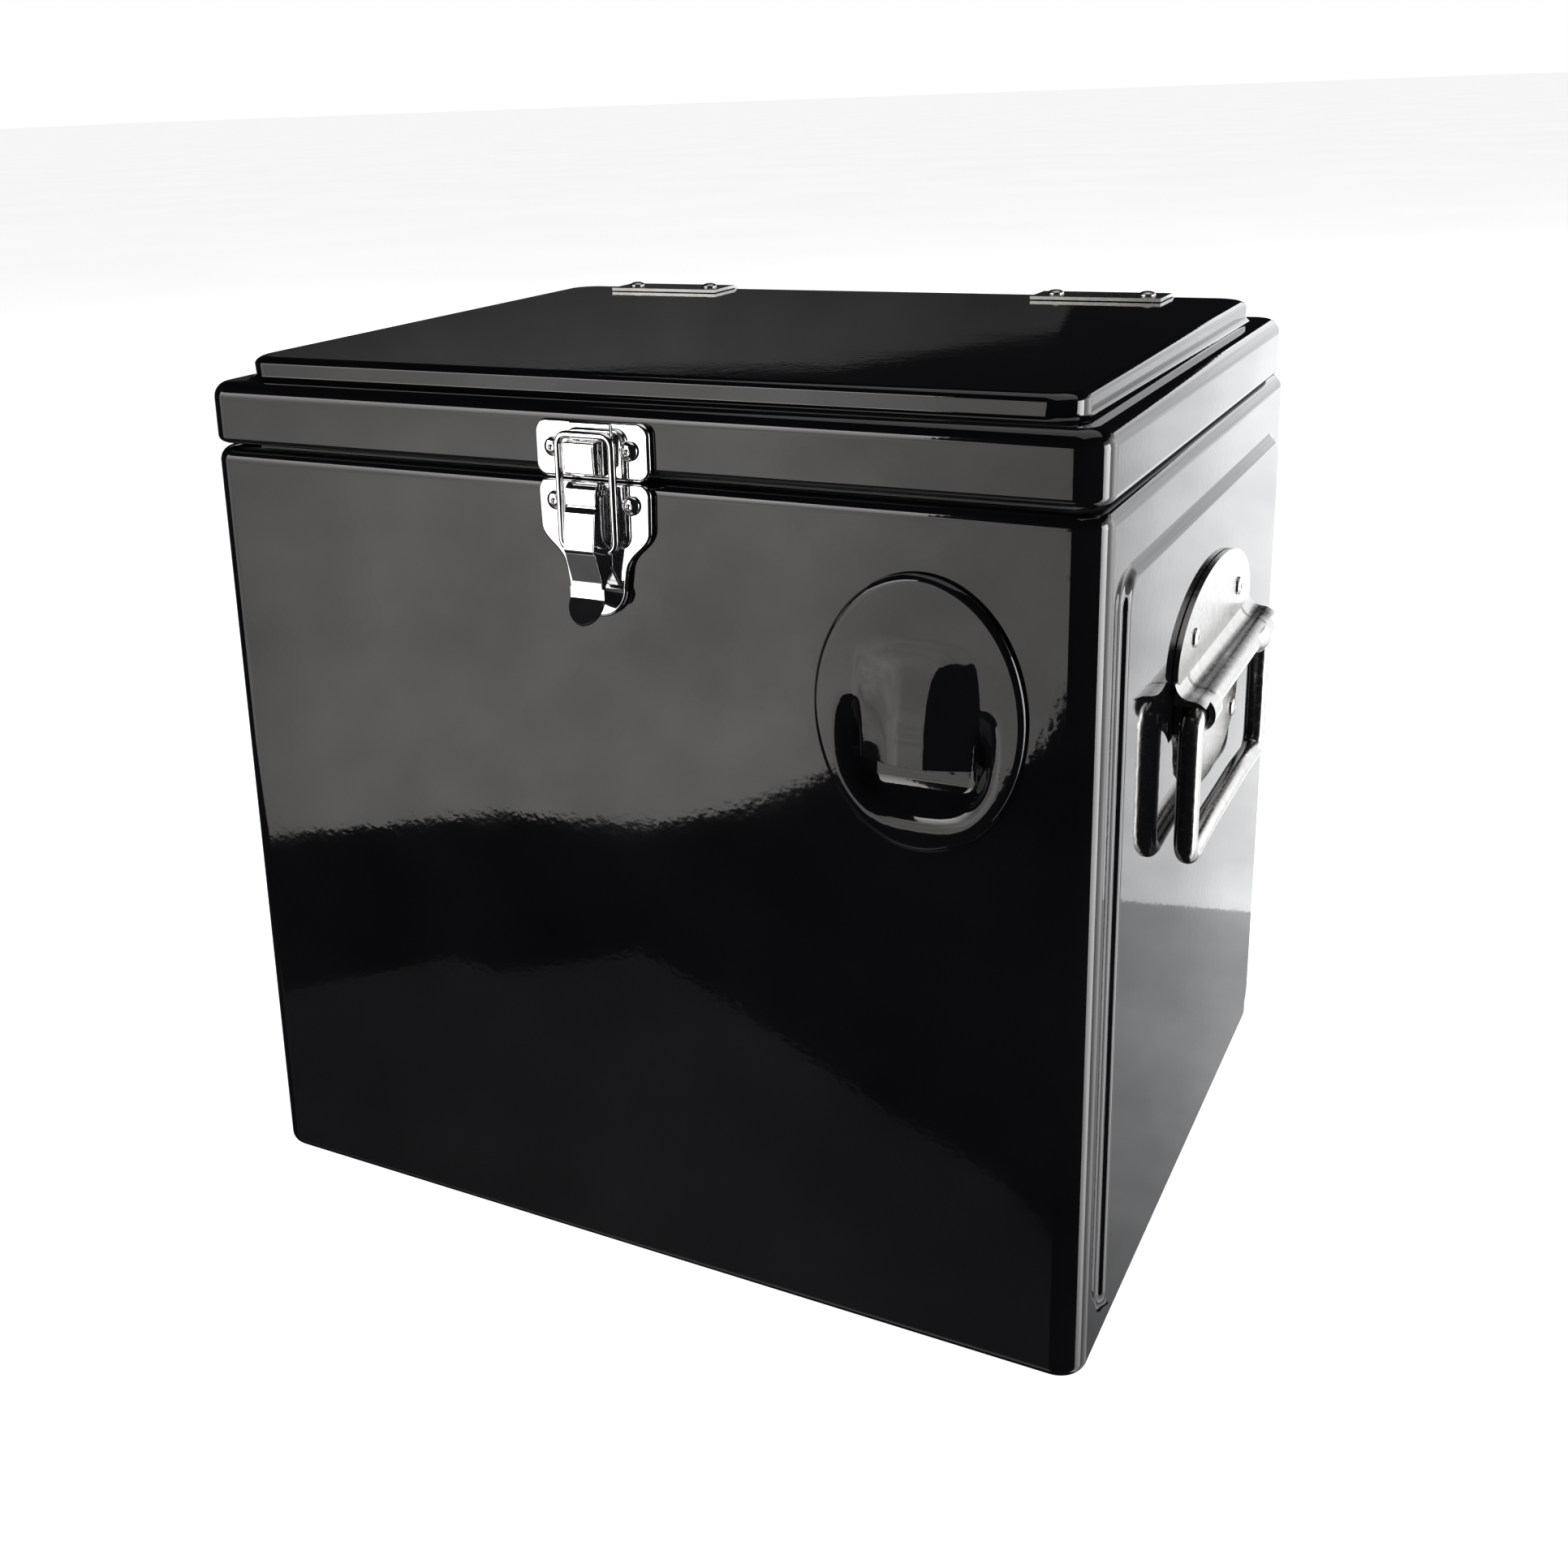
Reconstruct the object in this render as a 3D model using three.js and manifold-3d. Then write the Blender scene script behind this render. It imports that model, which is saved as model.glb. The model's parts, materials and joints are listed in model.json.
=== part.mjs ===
// A small sheet-steel cooler chest: insulated box, hinged lid, over-centre latch,
// pressed bottle opener and a folding carry handle on each side.
// Millimetres, +Z up, the front faces -Y, and the origin is the middle of the base.
import * as THREE from 'three';
import { mergeVertices } from 'three/addons/utils/BufferGeometryUtils.js';
import Module from 'manifold-3d';

// ---------------------------------------------------------------- driving dimensions
const WIDTH = 365;                 // outside of the box along X
const DEPTH = 300;                 // outside of the box along Y
const SEAM = 322;                  // height of the lid's lower edge
const LEDGE = 346.5;               // height of the lid's flat border
const PLATEAU = 355.5;             // height of the lid's raised top
const CORNER = 11;                 // radius of the upright corners
const LID_BACK = 138;              // the lid stops short of the back wall, ahead of the hinges
const SHEET = 1.2;                 // steel sheet
const GAP = 0.3;                   // air between touching pieces

// box
const BASE_ROLL = 5;               // radius where wall meets floor
const SHOULDER_ROLL = 6;           // radius where wall turns in under the lid
const SHOULDER = SEAM - 1.5;       // top of the turned-in lip
const LIP = 16;                    // width of the turned-in lips, from the outside

// raised panel on each side wall
const PANEL = { halfY: 131, low: 12.5, high: 298, radius: 14, rise: 2.8, slope: 5 };

// insulation and liner
const LINER_INSET = 24;            // outside wall to the liner's outer face
const LINER_WALL = 2.5;
const LINER_FLOOR = 28;
const FLANGE_INSET = 12;           // outer edge of the liner's flange
const FLANGE_TOP = SEAM + 1;

// lid
const LID_ROLL = 6.5;              // radius from skirt to border
const SKIRT_ROLL = 3;              // radius at the skirt's lower edge
const PLUG_DROP = 9;               // how far the lid's liner dips into the tub
const PLUG_INSET = 31;

// opener
const OPENER = { x: 121.5, z: 247.7, halfX: 37, halfZ: 48.7, lip: -16.2, rise: 2.4, sheet: 1.4 };

// hinges
const HINGE = { x: 108, width: 58, sheet: 1.5, pivotY: 147.8, pivotZ: 328, knuckle: 4, bore: 2.15, pin: 1.8 };
const HINGE_LEAF_FRONT = 101;      // front edge of the leaf on the lid
const HINGE_LEAF_LOW = 284;        // lower edge of the leaf on the back wall
const CENTRE_KNUCKLE = 21;         // length of the box's knuckle

// latch
const FRONT = -DEPTH / 2;
const LATCH_FACE = FRONT - GAP - 2.6;          // outer face of both latch plates
const LEVER_PIVOT = { y: LATCH_FACE - 4.8, z: SEAM - 5.5 };
const BAIL_PIVOT = { y: LATCH_FACE - 4.5, z: SEAM - 26.5 };
const BAIL_BAR_Z = SEAM + 14.9;                // height of the latch bail's top bar
const LEVER_HALF = 6.2;
const LATCH_WIRE = 1.5;                        // wire radius

// carry handles
const PANEL_FACE = WIDTH / 2 + PANEL.rise;
const HANDLE = { axisX: 192.8, axisZ: 227, wire: 4.3, halfGrip: 63.2, drop: 55, sheet: 2, bridgeHalf: 56.8,
  roofHalf: 66, bore: 4.9, arch: 7.2 };
const HANDLE_FACE = PANEL_FACE + GAP + HANDLE.sheet;

// rivets
const RIVET = { head: 3.7, crown: 1.6, shank: 1.6, hole: 2.0 };

// ---------------------------------------------------------------- materials
function finish(color, roughness, metalness) {
  return new THREE.MeshStandardMaterial({ color, roughness, metalness });
}
const paint = finish(0x0b0c0f, 0.12, 0.0);
const chrome = finish(0xd9dadc, 0.12, 1.0);
const nickel = finish(0xc9c7c2, 0.3, 1.0);
const zinc = finish(0xaeb0b2, 0.4, 1.0);
const whitePlastic = finish(0xe9eaea, 0.45, 0.0);
const foam = finish(0xe3cf9c, 0.9, 0.0);
const rubber = finish(0x141414, 0.8, 0.0);

// ---------------------------------------------------------------- geometry helpers
const wasm = await Module();
wasm.setup();
const chest = new THREE.Group();

function toSolid(geometry) {
  const bare = geometry.clone();
  bare.deleteAttribute('normal');
  bare.deleteAttribute('uv');
  const merged = mergeVertices(bare, 1e-4);
  return new wasm.Manifold(new wasm.Mesh({
    numProp: 3,
    vertProperties: new Float32Array(merged.attributes.position.array),
    triVerts: new Uint32Array(merged.index.array),
  }));
}

function toGeometry(solid) {
  const mesh = solid.getMesh();
  const geometry = new THREE.BufferGeometry();
  geometry.setAttribute('position', new THREE.BufferAttribute(new Float32Array(mesh.vertProperties), 3));
  geometry.setIndex(new THREE.BufferAttribute(new Uint32Array(mesh.triVerts), 1));
  geometry.computeVertexNormals();
  return geometry;
}

function addPiece(name, solid, material) {
  const mesh = new THREE.Mesh(toGeometry(solid), material);
  mesh.name = name;
  chest.add(mesh);
}

const place = (geometry, matrix) => toSolid(geometry.applyMatrix4(matrix));

function box(x0, x1, y0, y1, z0, z1) {
  const geometry = new THREE.BoxGeometry(x1 - x0, y1 - y0, z1 - z0);
  return toSolid(geometry.translate((x0 + x1) / 2, (y0 + y1) / 2, (z0 + z1) / 2));
}

// A round bar between two points.
function bar(from, to, radius, sides = 12) {
  const start = new THREE.Vector3(...from);
  const span = new THREE.Vector3(...to).sub(start);
  const along = span.clone().normalize();
  const turn = new THREE.Quaternion().setFromUnitVectors(new THREE.Vector3(0, 1, 0), along);
  const geometry = new THREE.CylinderGeometry(radius, radius, span.length(), sides);
  const middle = start.addScaledVector(span, 0.5);
  return place(geometry, new THREE.Matrix4().compose(middle, turn, new THREE.Vector3(1, 1, 1)));
}

// Extrudes an outline drawn in two of the row's axes along the third.
const ACROSS_X = new THREE.Matrix4().makeBasis(
  new THREE.Vector3(0, 1, 0), new THREE.Vector3(0, 0, 1), new THREE.Vector3(1, 0, 0));
const ACROSS_Y = new THREE.Matrix4().makeBasis(
  new THREE.Vector3(1, 0, 0), new THREE.Vector3(0, 0, 1), new THREE.Vector3(0, -1, 0));

function extrude(shape, low, high, basis, curveSegments = 6) {
  const settings = { depth: high - low, bevelEnabled: false, curveSegments };
  const geometry = new THREE.ExtrudeGeometry(shape, settings);
  return place(geometry.translate(0, 0, low), basis);
}
// outline (y, z), from x = low to high
const extrudeX = (shape, low, high, segments) => extrude(shape, low, high, ACROSS_X, segments);
// outline (x, z), from y = low to high
const extrudeY = (shape, low, high, segments) => extrude(shape, -high, -low, ACROSS_Y, segments);

const polygon = (points) => new THREE.Shape(points.map(([u, v]) => new THREE.Vector2(u, v)));

function roundedRectangle(u0, u1, v0, v1, radius) {
  const shape = new THREE.Shape();
  shape.absarc(u1 - radius, v0 + radius, radius, -Math.PI / 2, 0);
  shape.absarc(u1 - radius, v1 - radius, radius, 0, Math.PI / 2);
  shape.absarc(u0 + radius, v1 - radius, radius, Math.PI / 2, Math.PI);
  shape.absarc(u0 + radius, v0 + radius, radius, Math.PI, Math.PI * 1.5);
  return shape;
}

// Stacks rounded rectangles into one closed solid. A level is {z, inset, radius?}.
const CORNER_STEPS = 4;
function stack(plan, levels) {
  const positions = [];
  const loop = 4 * (CORNER_STEPS + 1);
  for (const { z, inset, radius } of levels) {
    const r = radius ?? Math.max(plan.corner - inset, 1.5);
    const [x0, x1] = [plan.x0 + inset + r, plan.x1 - inset - r];
    const [y0, y1] = [plan.y0 + inset + r, plan.y1 - inset - r];
    [[x1, y0, -90], [x1, y1, 0], [x0, y1, 90], [x0, y0, 180]].forEach(([cx, cy, start]) => {
      for (let i = 0; i <= CORNER_STEPS; i += 1) {
        const angle = THREE.MathUtils.degToRad(start + (90 * i) / CORNER_STEPS);
        positions.push(cx + r * Math.cos(angle), cy + r * Math.sin(angle), z);
      }
    });
  }
  const middle = [(plan.x0 + plan.x1) / 2, (plan.y0 + plan.y1) / 2];
  const floor = levels.length * loop;
  positions.push(...middle, levels[0].z, ...middle, levels.at(-1).z);
  const index = [];
  for (let i = 0; i < loop; i += 1) {
    const next = (i + 1) % loop;
    for (let row = 0; row < levels.length - 1; row += 1) {
      const [a, b] = [row * loop + i, row * loop + next];
      index.push(a, b, b + loop, a, b + loop, a + loop);
    }
    const top = (levels.length - 1) * loop;
    index.push(next, i, floor, top + i, top + next, floor + 1);
  }
  const geometry = new THREE.BufferGeometry();
  geometry.setAttribute('position', new THREE.Float32BufferAttribute(positions, 3));
  geometry.setIndex(index);
  return toSolid(geometry);
}

// Levels along an arc in the (inset, z) plane; 0 degrees points outwards, 90 up.
function arcLevels(inset, z, radius, from, to, steps, extra = {}) {
  return Array.from({ length: steps + 1 }, (_, i) => {
    const angle = THREE.MathUtils.degToRad(from + ((to - from) * i) / steps);
    return { inset: inset - radius * Math.cos(angle), z: z + radius * Math.sin(angle), ...extra };
  });
}

// Sweeps a round wire along straight runs joined by rounded bends.
const WIRE_SIDES = 8;
function wire(points, bendRadius, radius, steps) {
  const corners = points.map((p) => new THREE.Vector3(...p));
  const path = new THREE.CurvePath();
  let start = corners[0];
  for (let i = 1; i < corners.length - 1; i += 1) {
    const towards = (other) => other.clone().sub(corners[i]).setLength(bendRadius).add(corners[i]);
    const [into, leaving] = [towards(corners[i - 1]), towards(corners[i + 1])];
    path.add(new THREE.LineCurve3(start, into));
    path.add(new THREE.QuadraticBezierCurve3(into, corners[i], leaving));
    start = leaving;
  }
  path.add(new THREE.LineCurve3(start, corners.at(-1)));
  const section = new THREE.Shape().absarc(0, 0, radius, 0, 2 * Math.PI);
  const curveSegments = WIRE_SIDES / 2;
  const settings = { extrudePath: path, steps, curveSegments, bevelEnabled: false };
  return toSolid(new THREE.ExtrudeGeometry(section, settings));
}

// ---------------------------------------------------------------- rivets
const HEAD_STEPS = 2;
const RIVET_SIDES = 8;
function rivet(name, spot, material) {
  const profile = [new THREE.Vector2(0, -spot.grip), new THREE.Vector2(RIVET.shank, -spot.grip),
    new THREE.Vector2(RIVET.shank, 0.15), new THREE.Vector2(RIVET.head, 0.15)];
  for (let i = 0; i <= HEAD_STEPS; i += 1) {
    const angle = (Math.PI / 2) * (i / HEAD_STEPS);
    profile.push(new THREE.Vector2(RIVET.head * 0.96 * Math.cos(angle), 0.4 + RIVET.crown * Math.sin(angle)));
  }
  profile[profile.length - 1].x = 0;
  const turn = new THREE.Quaternion().setFromUnitVectors(new THREE.Vector3(0, 1, 0), spot.out);
  const matrix = new THREE.Matrix4().compose(spot.at, turn, new THREE.Vector3(1, 1, 1));
  addPiece(name, place(new THREE.LatheGeometry(profile, RIVET_SIDES), matrix), material);
}

// Clears the shank's hole through a piece.
function drill(solid, spots) {
  return spots.reduce((left, { at, out, grip }) => {
    const [inner, outer] = [-grip - 2, 2].map((d) => at.clone().addScaledVector(out, d).toArray());
    return left.subtract(bar(inner, outer, RIVET.hole, RIVET_SIDES));
  }, solid);
}

function spot(x, y, z, out, grip) {
  return { at: new THREE.Vector3(x, y, z), out: new THREE.Vector3(...out), grip };
}
const PLATE_GRIP = 2.6 + GAP + SHEET;
const LEAF_GRIP = HINGE.sheet + GAP + SHEET;
const HANDLE_GRIP = HANDLE.sheet + GAP + SHEET;

const strikeSpots = [-15.5, 15.5].map((x) => spot(x, LATCH_FACE, SEAM + 9.3, [0, -1, 0], PLATE_GRIP));
const baseSpots = [-15.5, 15.5].map((x) => spot(x, LATCH_FACE, SEAM - 10.2, [0, -1, 0], PLATE_GRIP));
const LEAF_TOP = PLATEAU + GAP + HINGE.sheet;
const LEAF_BACK = DEPTH / 2 + GAP + HINGE.sheet;
const lidLeafSpots = (x) => [-20.5, 20.5].map((dx) => spot(x + dx, 112, LEAF_TOP, [0, 0, 1], LEAF_GRIP));
const boxLeafSpots = (x) => [-20.5, 20.5].map((dx) => spot(x + dx, LEAF_BACK, 298, [0, 1, 0], LEAF_GRIP));
const handleSpots = (side) => [[-38.5, 250], [38.5, 250], [-38, 198], [38, 198]]
  .map(([y, z]) => spot(side * HANDLE_FACE, y, z, [side, 0, 0], HANDLE_GRIP));
const allHandleSpots = [...handleSpots(1), ...handleSpots(-1)];
const allHingeX = [-HINGE.x, HINGE.x];

// ---------------------------------------------------------------- box
const boxPlan = { x0: -WIDTH / 2, x1: WIDTH / 2, y0: -DEPTH / 2, y1: DEPTH / 2, corner: CORNER };
const lidPlan = { ...boxPlan, y1: LID_BACK };   // the lid, and the tub that it closes

function wallLevels(skin) {
  return [
    ...arcLevels(BASE_ROLL, BASE_ROLL, BASE_ROLL - skin, -90, 0, 3),
    ...arcLevels(SHOULDER_ROLL, SHOULDER - SHOULDER_ROLL, SHOULDER_ROLL - skin, 0, 90, 3),
  ];
}

// The raised side panel as a flat-topped block lying on its side.
function sidePanel(side, skin) {
  const plan = { x0: -PANEL.high, x1: -PANEL.low, y0: -PANEL.halfY, y1: PANEL.halfY, corner: PANEL.radius };
  const inset = skin * 0.7;
  const block = stack(plan, [
    { z: WIDTH / 2 - skin - 0.6, inset },
    { z: WIDTH / 2 - skin, inset },
    { z: PANEL_FACE - skin, inset: inset + PANEL.slope, radius: PANEL.radius - PANEL.slope },
  ]);
  const upright = block.rotate([0, 90, 0]);
  return side > 0 ? upright : upright.mirror([1, 0, 0]);
}

function openerOval(scaleBy) {
  const oval = new THREE.Shape();
  oval.absellipse(OPENER.x, OPENER.z, OPENER.halfX - scaleBy, OPENER.halfZ - scaleBy, 0, Math.PI * 2);
  return oval;
}

function outerShell() {
  const mouth = stack(lidPlan, [{ z: SHOULDER - 4, inset: LIP }, { z: SHOULDER + 4, inset: LIP }]);
  const foot = stack(boxPlan, [{ z: -4, inset: LIP }, { z: 4, inset: LIP }]);
  let shell = stack(boxPlan, wallLevels(0)).add(sidePanel(1, 0)).add(sidePanel(-1, 0));
  const hollow = stack(boxPlan, wallLevels(SHEET)).add(sidePanel(1, SHEET)).add(sidePanel(-1, SHEET));
  shell = shell.subtract(hollow).subtract(mouth).subtract(foot);
  shell = shell.subtract(extrudeY(openerOval(4), FRONT - 2, FRONT + 4, 8));
  return drill(shell, [...baseSpots, ...allHandleSpots, ...allHingeX.flatMap(boxLeafSpots)]);
}
addPiece('outer_shell', outerShell(), paint);

// The floor is pressed level with the shell's turned-in lip, and its rim sits on that lip.
function bottomPan() {
  const rim = stack(boxPlan, [
    { z: SHEET + GAP, inset: BASE_ROLL + 1 }, { z: 2 * SHEET + GAP, inset: BASE_ROLL + 1 },
  ]);
  const floor = stack(boxPlan, [{ z: 0, inset: LIP + GAP }, { z: 2 * SHEET, inset: LIP + GAP }]);
  const dish = stack(boxPlan, [{ z: SHEET, inset: LIP + GAP + SHEET }, { z: 6, inset: LIP + GAP + SHEET }]);
  return rim.add(floor).subtract(dish);
}
addPiece('bottom_pan', bottomPan(), zinc);

// ---------------------------------------------------------------- liner and insulation
const FOAM_FLOOR = 2 * SHEET + 2 * GAP;
const SKIN_CLEAR = SHEET + GAP;
function bodyFoam() {
  const top = SHOULDER - SHEET - GAP;
  const block = stack(boxPlan, [
    { z: FOAM_FLOOR, inset: BASE_ROLL + 1 }, { z: FOAM_FLOOR + 4, inset: SKIN_CLEAR },
    { z: top - SHOULDER_ROLL, inset: SKIN_CLEAR }, { z: top, inset: SHOULDER_ROLL + 2 },
  ]);
  const tub = stack(lidPlan, [
    { z: LINER_FLOOR - LINER_WALL - GAP, inset: LINER_INSET - GAP, radius: 14 },
    { z: SEAM + 9, inset: LINER_INSET - GAP, radius: 14 },
  ]);
  const openerPocket = extrudeY(openerOval(3), FRONT - 2, FRONT + 10.5, 8);
  return drill(block.subtract(tub).subtract(openerPocket), [...baseSpots, ...allHandleSpots,
    ...allHingeX.flatMap(boxLeafSpots)]);
}
addPiece('body_foam', bodyFoam(), foam);

function innerLiner() {
  const tub = stack(lidPlan, [
    { z: LINER_FLOOR - LINER_WALL, inset: LINER_INSET + 4, radius: 14 },
    { z: LINER_FLOOR + 2, inset: LINER_INSET, radius: 14 },
    { z: FLANGE_TOP, inset: LINER_INSET, radius: 14 },
  ]);
  const flange = stack(lidPlan, [
    { z: SHOULDER + GAP, inset: FLANGE_INSET, radius: 10 },
    { z: FLANGE_TOP, inset: FLANGE_INSET, radius: 10 },
  ]);
  const inside = LINER_INSET + LINER_WALL;
  const hollow = stack(lidPlan, [
    { z: LINER_FLOOR, inset: inside + 5, radius: 12 }, { z: LINER_FLOOR + 5, inset: inside, radius: 12 },
    { z: SEAM + 9, inset: inside, radius: 12 },
  ]);
  return tub.add(flange).subtract(hollow);
}
addPiece('inner_liner', innerLiner(), whitePlastic);

// ---------------------------------------------------------------- bottle opener
const smooth = (edge0, edge1, value) => THREE.MathUtils.smoothstep(value, edge0, edge1);

// How far the pressed face stands out from the front wall, at (x, z) from the oval's middle.
// The hood rises towards its straight lower lip; the bowl falls away below and beside it.
const rimDistance = (x, z) => 1 - Math.hypot(x / OPENER.halfX, z / OPENER.halfZ);
const faceRise = (x, z) => OPENER.rise * smooth(0, 0.06, rimDistance(x, z));

function hoodRise(x, z) {
  const above = Math.max(z - OPENER.lip, 0);
  const across = Math.abs(x);
  const hood = 3.6 * (1 - smooth(14, 24, across)) * (1 - smooth(4, 42, above));
  const flank = 3 * smooth(18, 24, across) * (1 - smooth(24, 31, across)) * (1 - smooth(0, 24, above));
  return faceRise(x, z) + hood - flank * smooth(0.1, 0.25, rimDistance(x, z));
}

function bowlRise(x, z) {
  const below = Math.max(OPENER.lip - z, 0);
  const bowl = 9 * (1 - smooth(17, 30, Math.abs(x))) * (1 - smooth(7, 25, below));
  return faceRise(x, z) - bowl * smooth(0.1, 0.28, rimDistance(x, z));
}

// An oval sheet of even thickness whose front follows the given rise.
function pressedOval(rise) {
  const [rings, spokes] = [9, 32];
  const positions = [];
  for (const back of [0, OPENER.sheet]) {
    for (let ring = 0; ring <= rings; ring += 1) {
      const reach = ring === rings ? 1 : (ring / (rings - 1)) * 0.94;
      for (let spoke = 0; spoke < (ring ? spokes : 1); spoke += 1) {
        const angle = (2 * Math.PI * spoke) / spokes;
        const [x, z] = [reach * OPENER.halfX * Math.cos(angle), reach * OPENER.halfZ * Math.sin(angle)];
        positions.push(OPENER.x + x, FRONT - GAP - OPENER.sheet - rise(x, z) + back, OPENER.z + z);
      }
    }
  }
  const face = 1 + rings * spokes;
  const at = (side, ring, spoke) => side * face + (ring ? 1 + (ring - 1) * spokes + (spoke % spokes) : 0);
  const index = [];
  for (let spoke = 0; spoke < spokes; spoke += 1) {
    for (const side of [0, 1]) {
      const turn = (a, b, c) => (side ? index.push(a, c, b) : index.push(a, b, c));
      turn(at(side, 0, 0), at(side, 1, spoke), at(side, 1, spoke + 1));
      for (let ring = 1; ring < rings; ring += 1) {
        const [a, b] = [at(side, ring, spoke), at(side, ring, spoke + 1)];
        const [c, d] = [at(side, ring + 1, spoke), at(side, ring + 1, spoke + 1)];
        turn(a, c, d);
        turn(a, d, b);
      }
    }
    const [a, b] = [at(0, rings, spoke), at(0, rings, spoke + 1)];
    index.push(a, a + face, b + face, a, b + face, b);
  }
  const geometry = new THREE.BufferGeometry();
  geometry.setAttribute('position', new THREE.Float32BufferAttribute(positions, 3));
  geometry.setIndex(index);
  return toSolid(geometry);
}

// The lip is the hood's cut edge, with a slot under it that the bowl's back closes.
function openerPlate() {
  const lipZ = OPENER.z + OPENER.lip;
  const zone = (low, high) => box(OPENER.x - 50, OPENER.x + 50, FRONT - 30, FRONT + 30, low, high);
  const hood = pressedOval(hoodRise).intersect(zone(lipZ - 0.05, lipZ + 90));
  const bowl = pressedOval(bowlRise).intersect(zone(lipZ - 90, lipZ));
  const slot = box(OPENER.x - 19, OPENER.x + 19, FRONT - 12, FRONT + 12, lipZ - 1, lipZ);
  return hood.add(bowl).subtract(slot);
}
addPiece('opener_plate', openerPlate(), paint);

// ---------------------------------------------------------------- lid
const STEP_FOOT = 9.3;             // from the skirt to the foot of the raised step
const STEP_TOP = 16;

function lidLevels() {
  return [
    ...arcLevels(SKIRT_ROLL, SEAM + SKIRT_ROLL, SKIRT_ROLL, -75, 0, 2),
    ...arcLevels(LID_ROLL, LEDGE - LID_ROLL, LID_ROLL, 0, 90, 4),
    { inset: STEP_FOOT, z: LEDGE, radius: 12 },
    { inset: STEP_FOOT + 1.4, z: LEDGE + 0.9, radius: 12 },
    { inset: STEP_FOOT + 3.4, z: PLATEAU - 2.2, radius: 12 },
    { inset: STEP_FOOT + 4.6, z: PLATEAU - 0.6, radius: 11.5 },
    { inset: STEP_TOP, z: PLATEAU, radius: 11 },
  ];
}

function lidHollow(skin) {
  return stack(lidPlan, [
    { z: SEAM - 2, inset: SKIRT_ROLL + skin },
    { z: SEAM + SKIRT_ROLL, inset: skin },
    { z: LEDGE - LID_ROLL, inset: skin },
    { z: LEDGE - 2 - skin, inset: skin + 2.2 },
    { z: LEDGE - skin, inset: LID_ROLL },
    { z: LEDGE - skin, inset: STEP_FOOT + skin, radius: 11 },
    { z: PLATEAU - skin - 1.5, inset: STEP_FOOT + 3.8 + skin, radius: 11 },
    { z: PLATEAU - skin, inset: STEP_TOP + skin, radius: 10 },
  ]);
}

function lidShell() {
  const shell = stack(lidPlan, lidLevels()).subtract(lidHollow(SHEET));
  return drill(shell, [...strikeSpots, ...allHingeX.flatMap(lidLeafSpots)]);
}
addPiece('lid_shell', lidShell(), paint);

const LID_LINER_RIM = SEAM + 8;    // top of the lid liner's rim
const RIM_INSET = 4;
function lidFoam() {
  const floor = box(-WIDTH, WIDTH, -DEPTH, DEPTH, 0, LID_LINER_RIM + GAP);
  const plug = stack(lidPlan, [
    { z: SEAM - PLUG_DROP + LINER_WALL + GAP, inset: PLUG_INSET + LINER_WALL + GAP + 4, radius: 10 },
    { z: LID_LINER_RIM + 1, inset: PLUG_INSET + LINER_WALL + GAP, radius: 10 },
  ]);
  const block = lidHollow(SHEET + GAP).subtract(floor).add(plug);
  return drill(block, [...strikeSpots, ...allHingeX.flatMap(lidLeafSpots)]);
}
addPiece('lid_foam', lidFoam(), foam);

// The lid's inner pan: a flat rim and a plug that dips into the tub.
function lidLiner() {
  const rim = stack(lidPlan, [
    { z: LID_LINER_RIM - LINER_WALL, inset: RIM_INSET }, { z: LID_LINER_RIM, inset: RIM_INSET },
  ]);
  const plug = stack(lidPlan, [
    { z: SEAM - PLUG_DROP, inset: PLUG_INSET + 4, radius: 12 },
    { z: SEAM - PLUG_DROP + 4, inset: PLUG_INSET, radius: 12 },
    { z: LID_LINER_RIM - 0.5, inset: PLUG_INSET, radius: 12 },
  ]);
  const hollow = stack(lidPlan, [
    { z: SEAM - PLUG_DROP + LINER_WALL, inset: PLUG_INSET + LINER_WALL + 4, radius: 10 },
    { z: LID_LINER_RIM + 2, inset: PLUG_INSET + LINER_WALL, radius: 10 },
  ]);
  return rim.add(plug).subtract(hollow);
}
addPiece('lid_liner', lidLiner(), whitePlastic);

// A soft strip round the lid's liner that closes on the tub's flange.
function lidGasket() {
  const [low, high] = [FLANGE_TOP + GAP, LID_LINER_RIM - LINER_WALL - GAP];
  const [outside, inside] = [FLANGE_INSET + 1, FLANGE_INSET + 7];
  const outer = stack(lidPlan, [
    { z: low, inset: outside + 1, radius: 8 }, { z: low + 2, inset: outside, radius: 9 },
    { z: high, inset: outside, radius: 9 },
  ]);
  const inner = stack(lidPlan, [
    { z: low - 1, inset: inside, radius: 6 }, { z: high + 1, inset: inside, radius: 6 },
  ]);
  return outer.subtract(inner);
}
addPiece('lid_gasket', lidGasket(), rubber);

// ---------------------------------------------------------------- hinges
// The lid's outline from the plateau down over its back, as (y, z) points standing off by a distance.
function backOutline(off) {
  const upper = lidLevels().filter(({ z }) => z > LEDGE - LID_ROLL - 1).reverse();
  const points = [new THREE.Vector2(HINGE_LEAF_FRONT, PLATEAU),
    ...upper.map(({ inset, z }) => new THREE.Vector2(LID_BACK - inset, z))];
  const normals = points.slice(1).map((point, i) => {
    const along = point.clone().sub(points[i]).normalize();
    return new THREE.Vector2(-along.y, along.x);
  });
  return points.map((point, i) => {
    const [before, after] = [normals[Math.max(i - 1, 0)], normals[Math.min(i, normals.length - 1)]];
    const mitre = before.clone().add(after).normalize();
    return point.clone().addScaledVector(mitre, off / mitre.dot(before)).toArray();
  });
}

function knuckles(x, spans) {
  const { pivotY, pivotZ, knuckle } = HINGE;
  return spans.map(([low, high]) => bar([x + low, pivotY, pivotZ], [x + high, pivotY, pivotZ], knuckle, 12));
}

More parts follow.
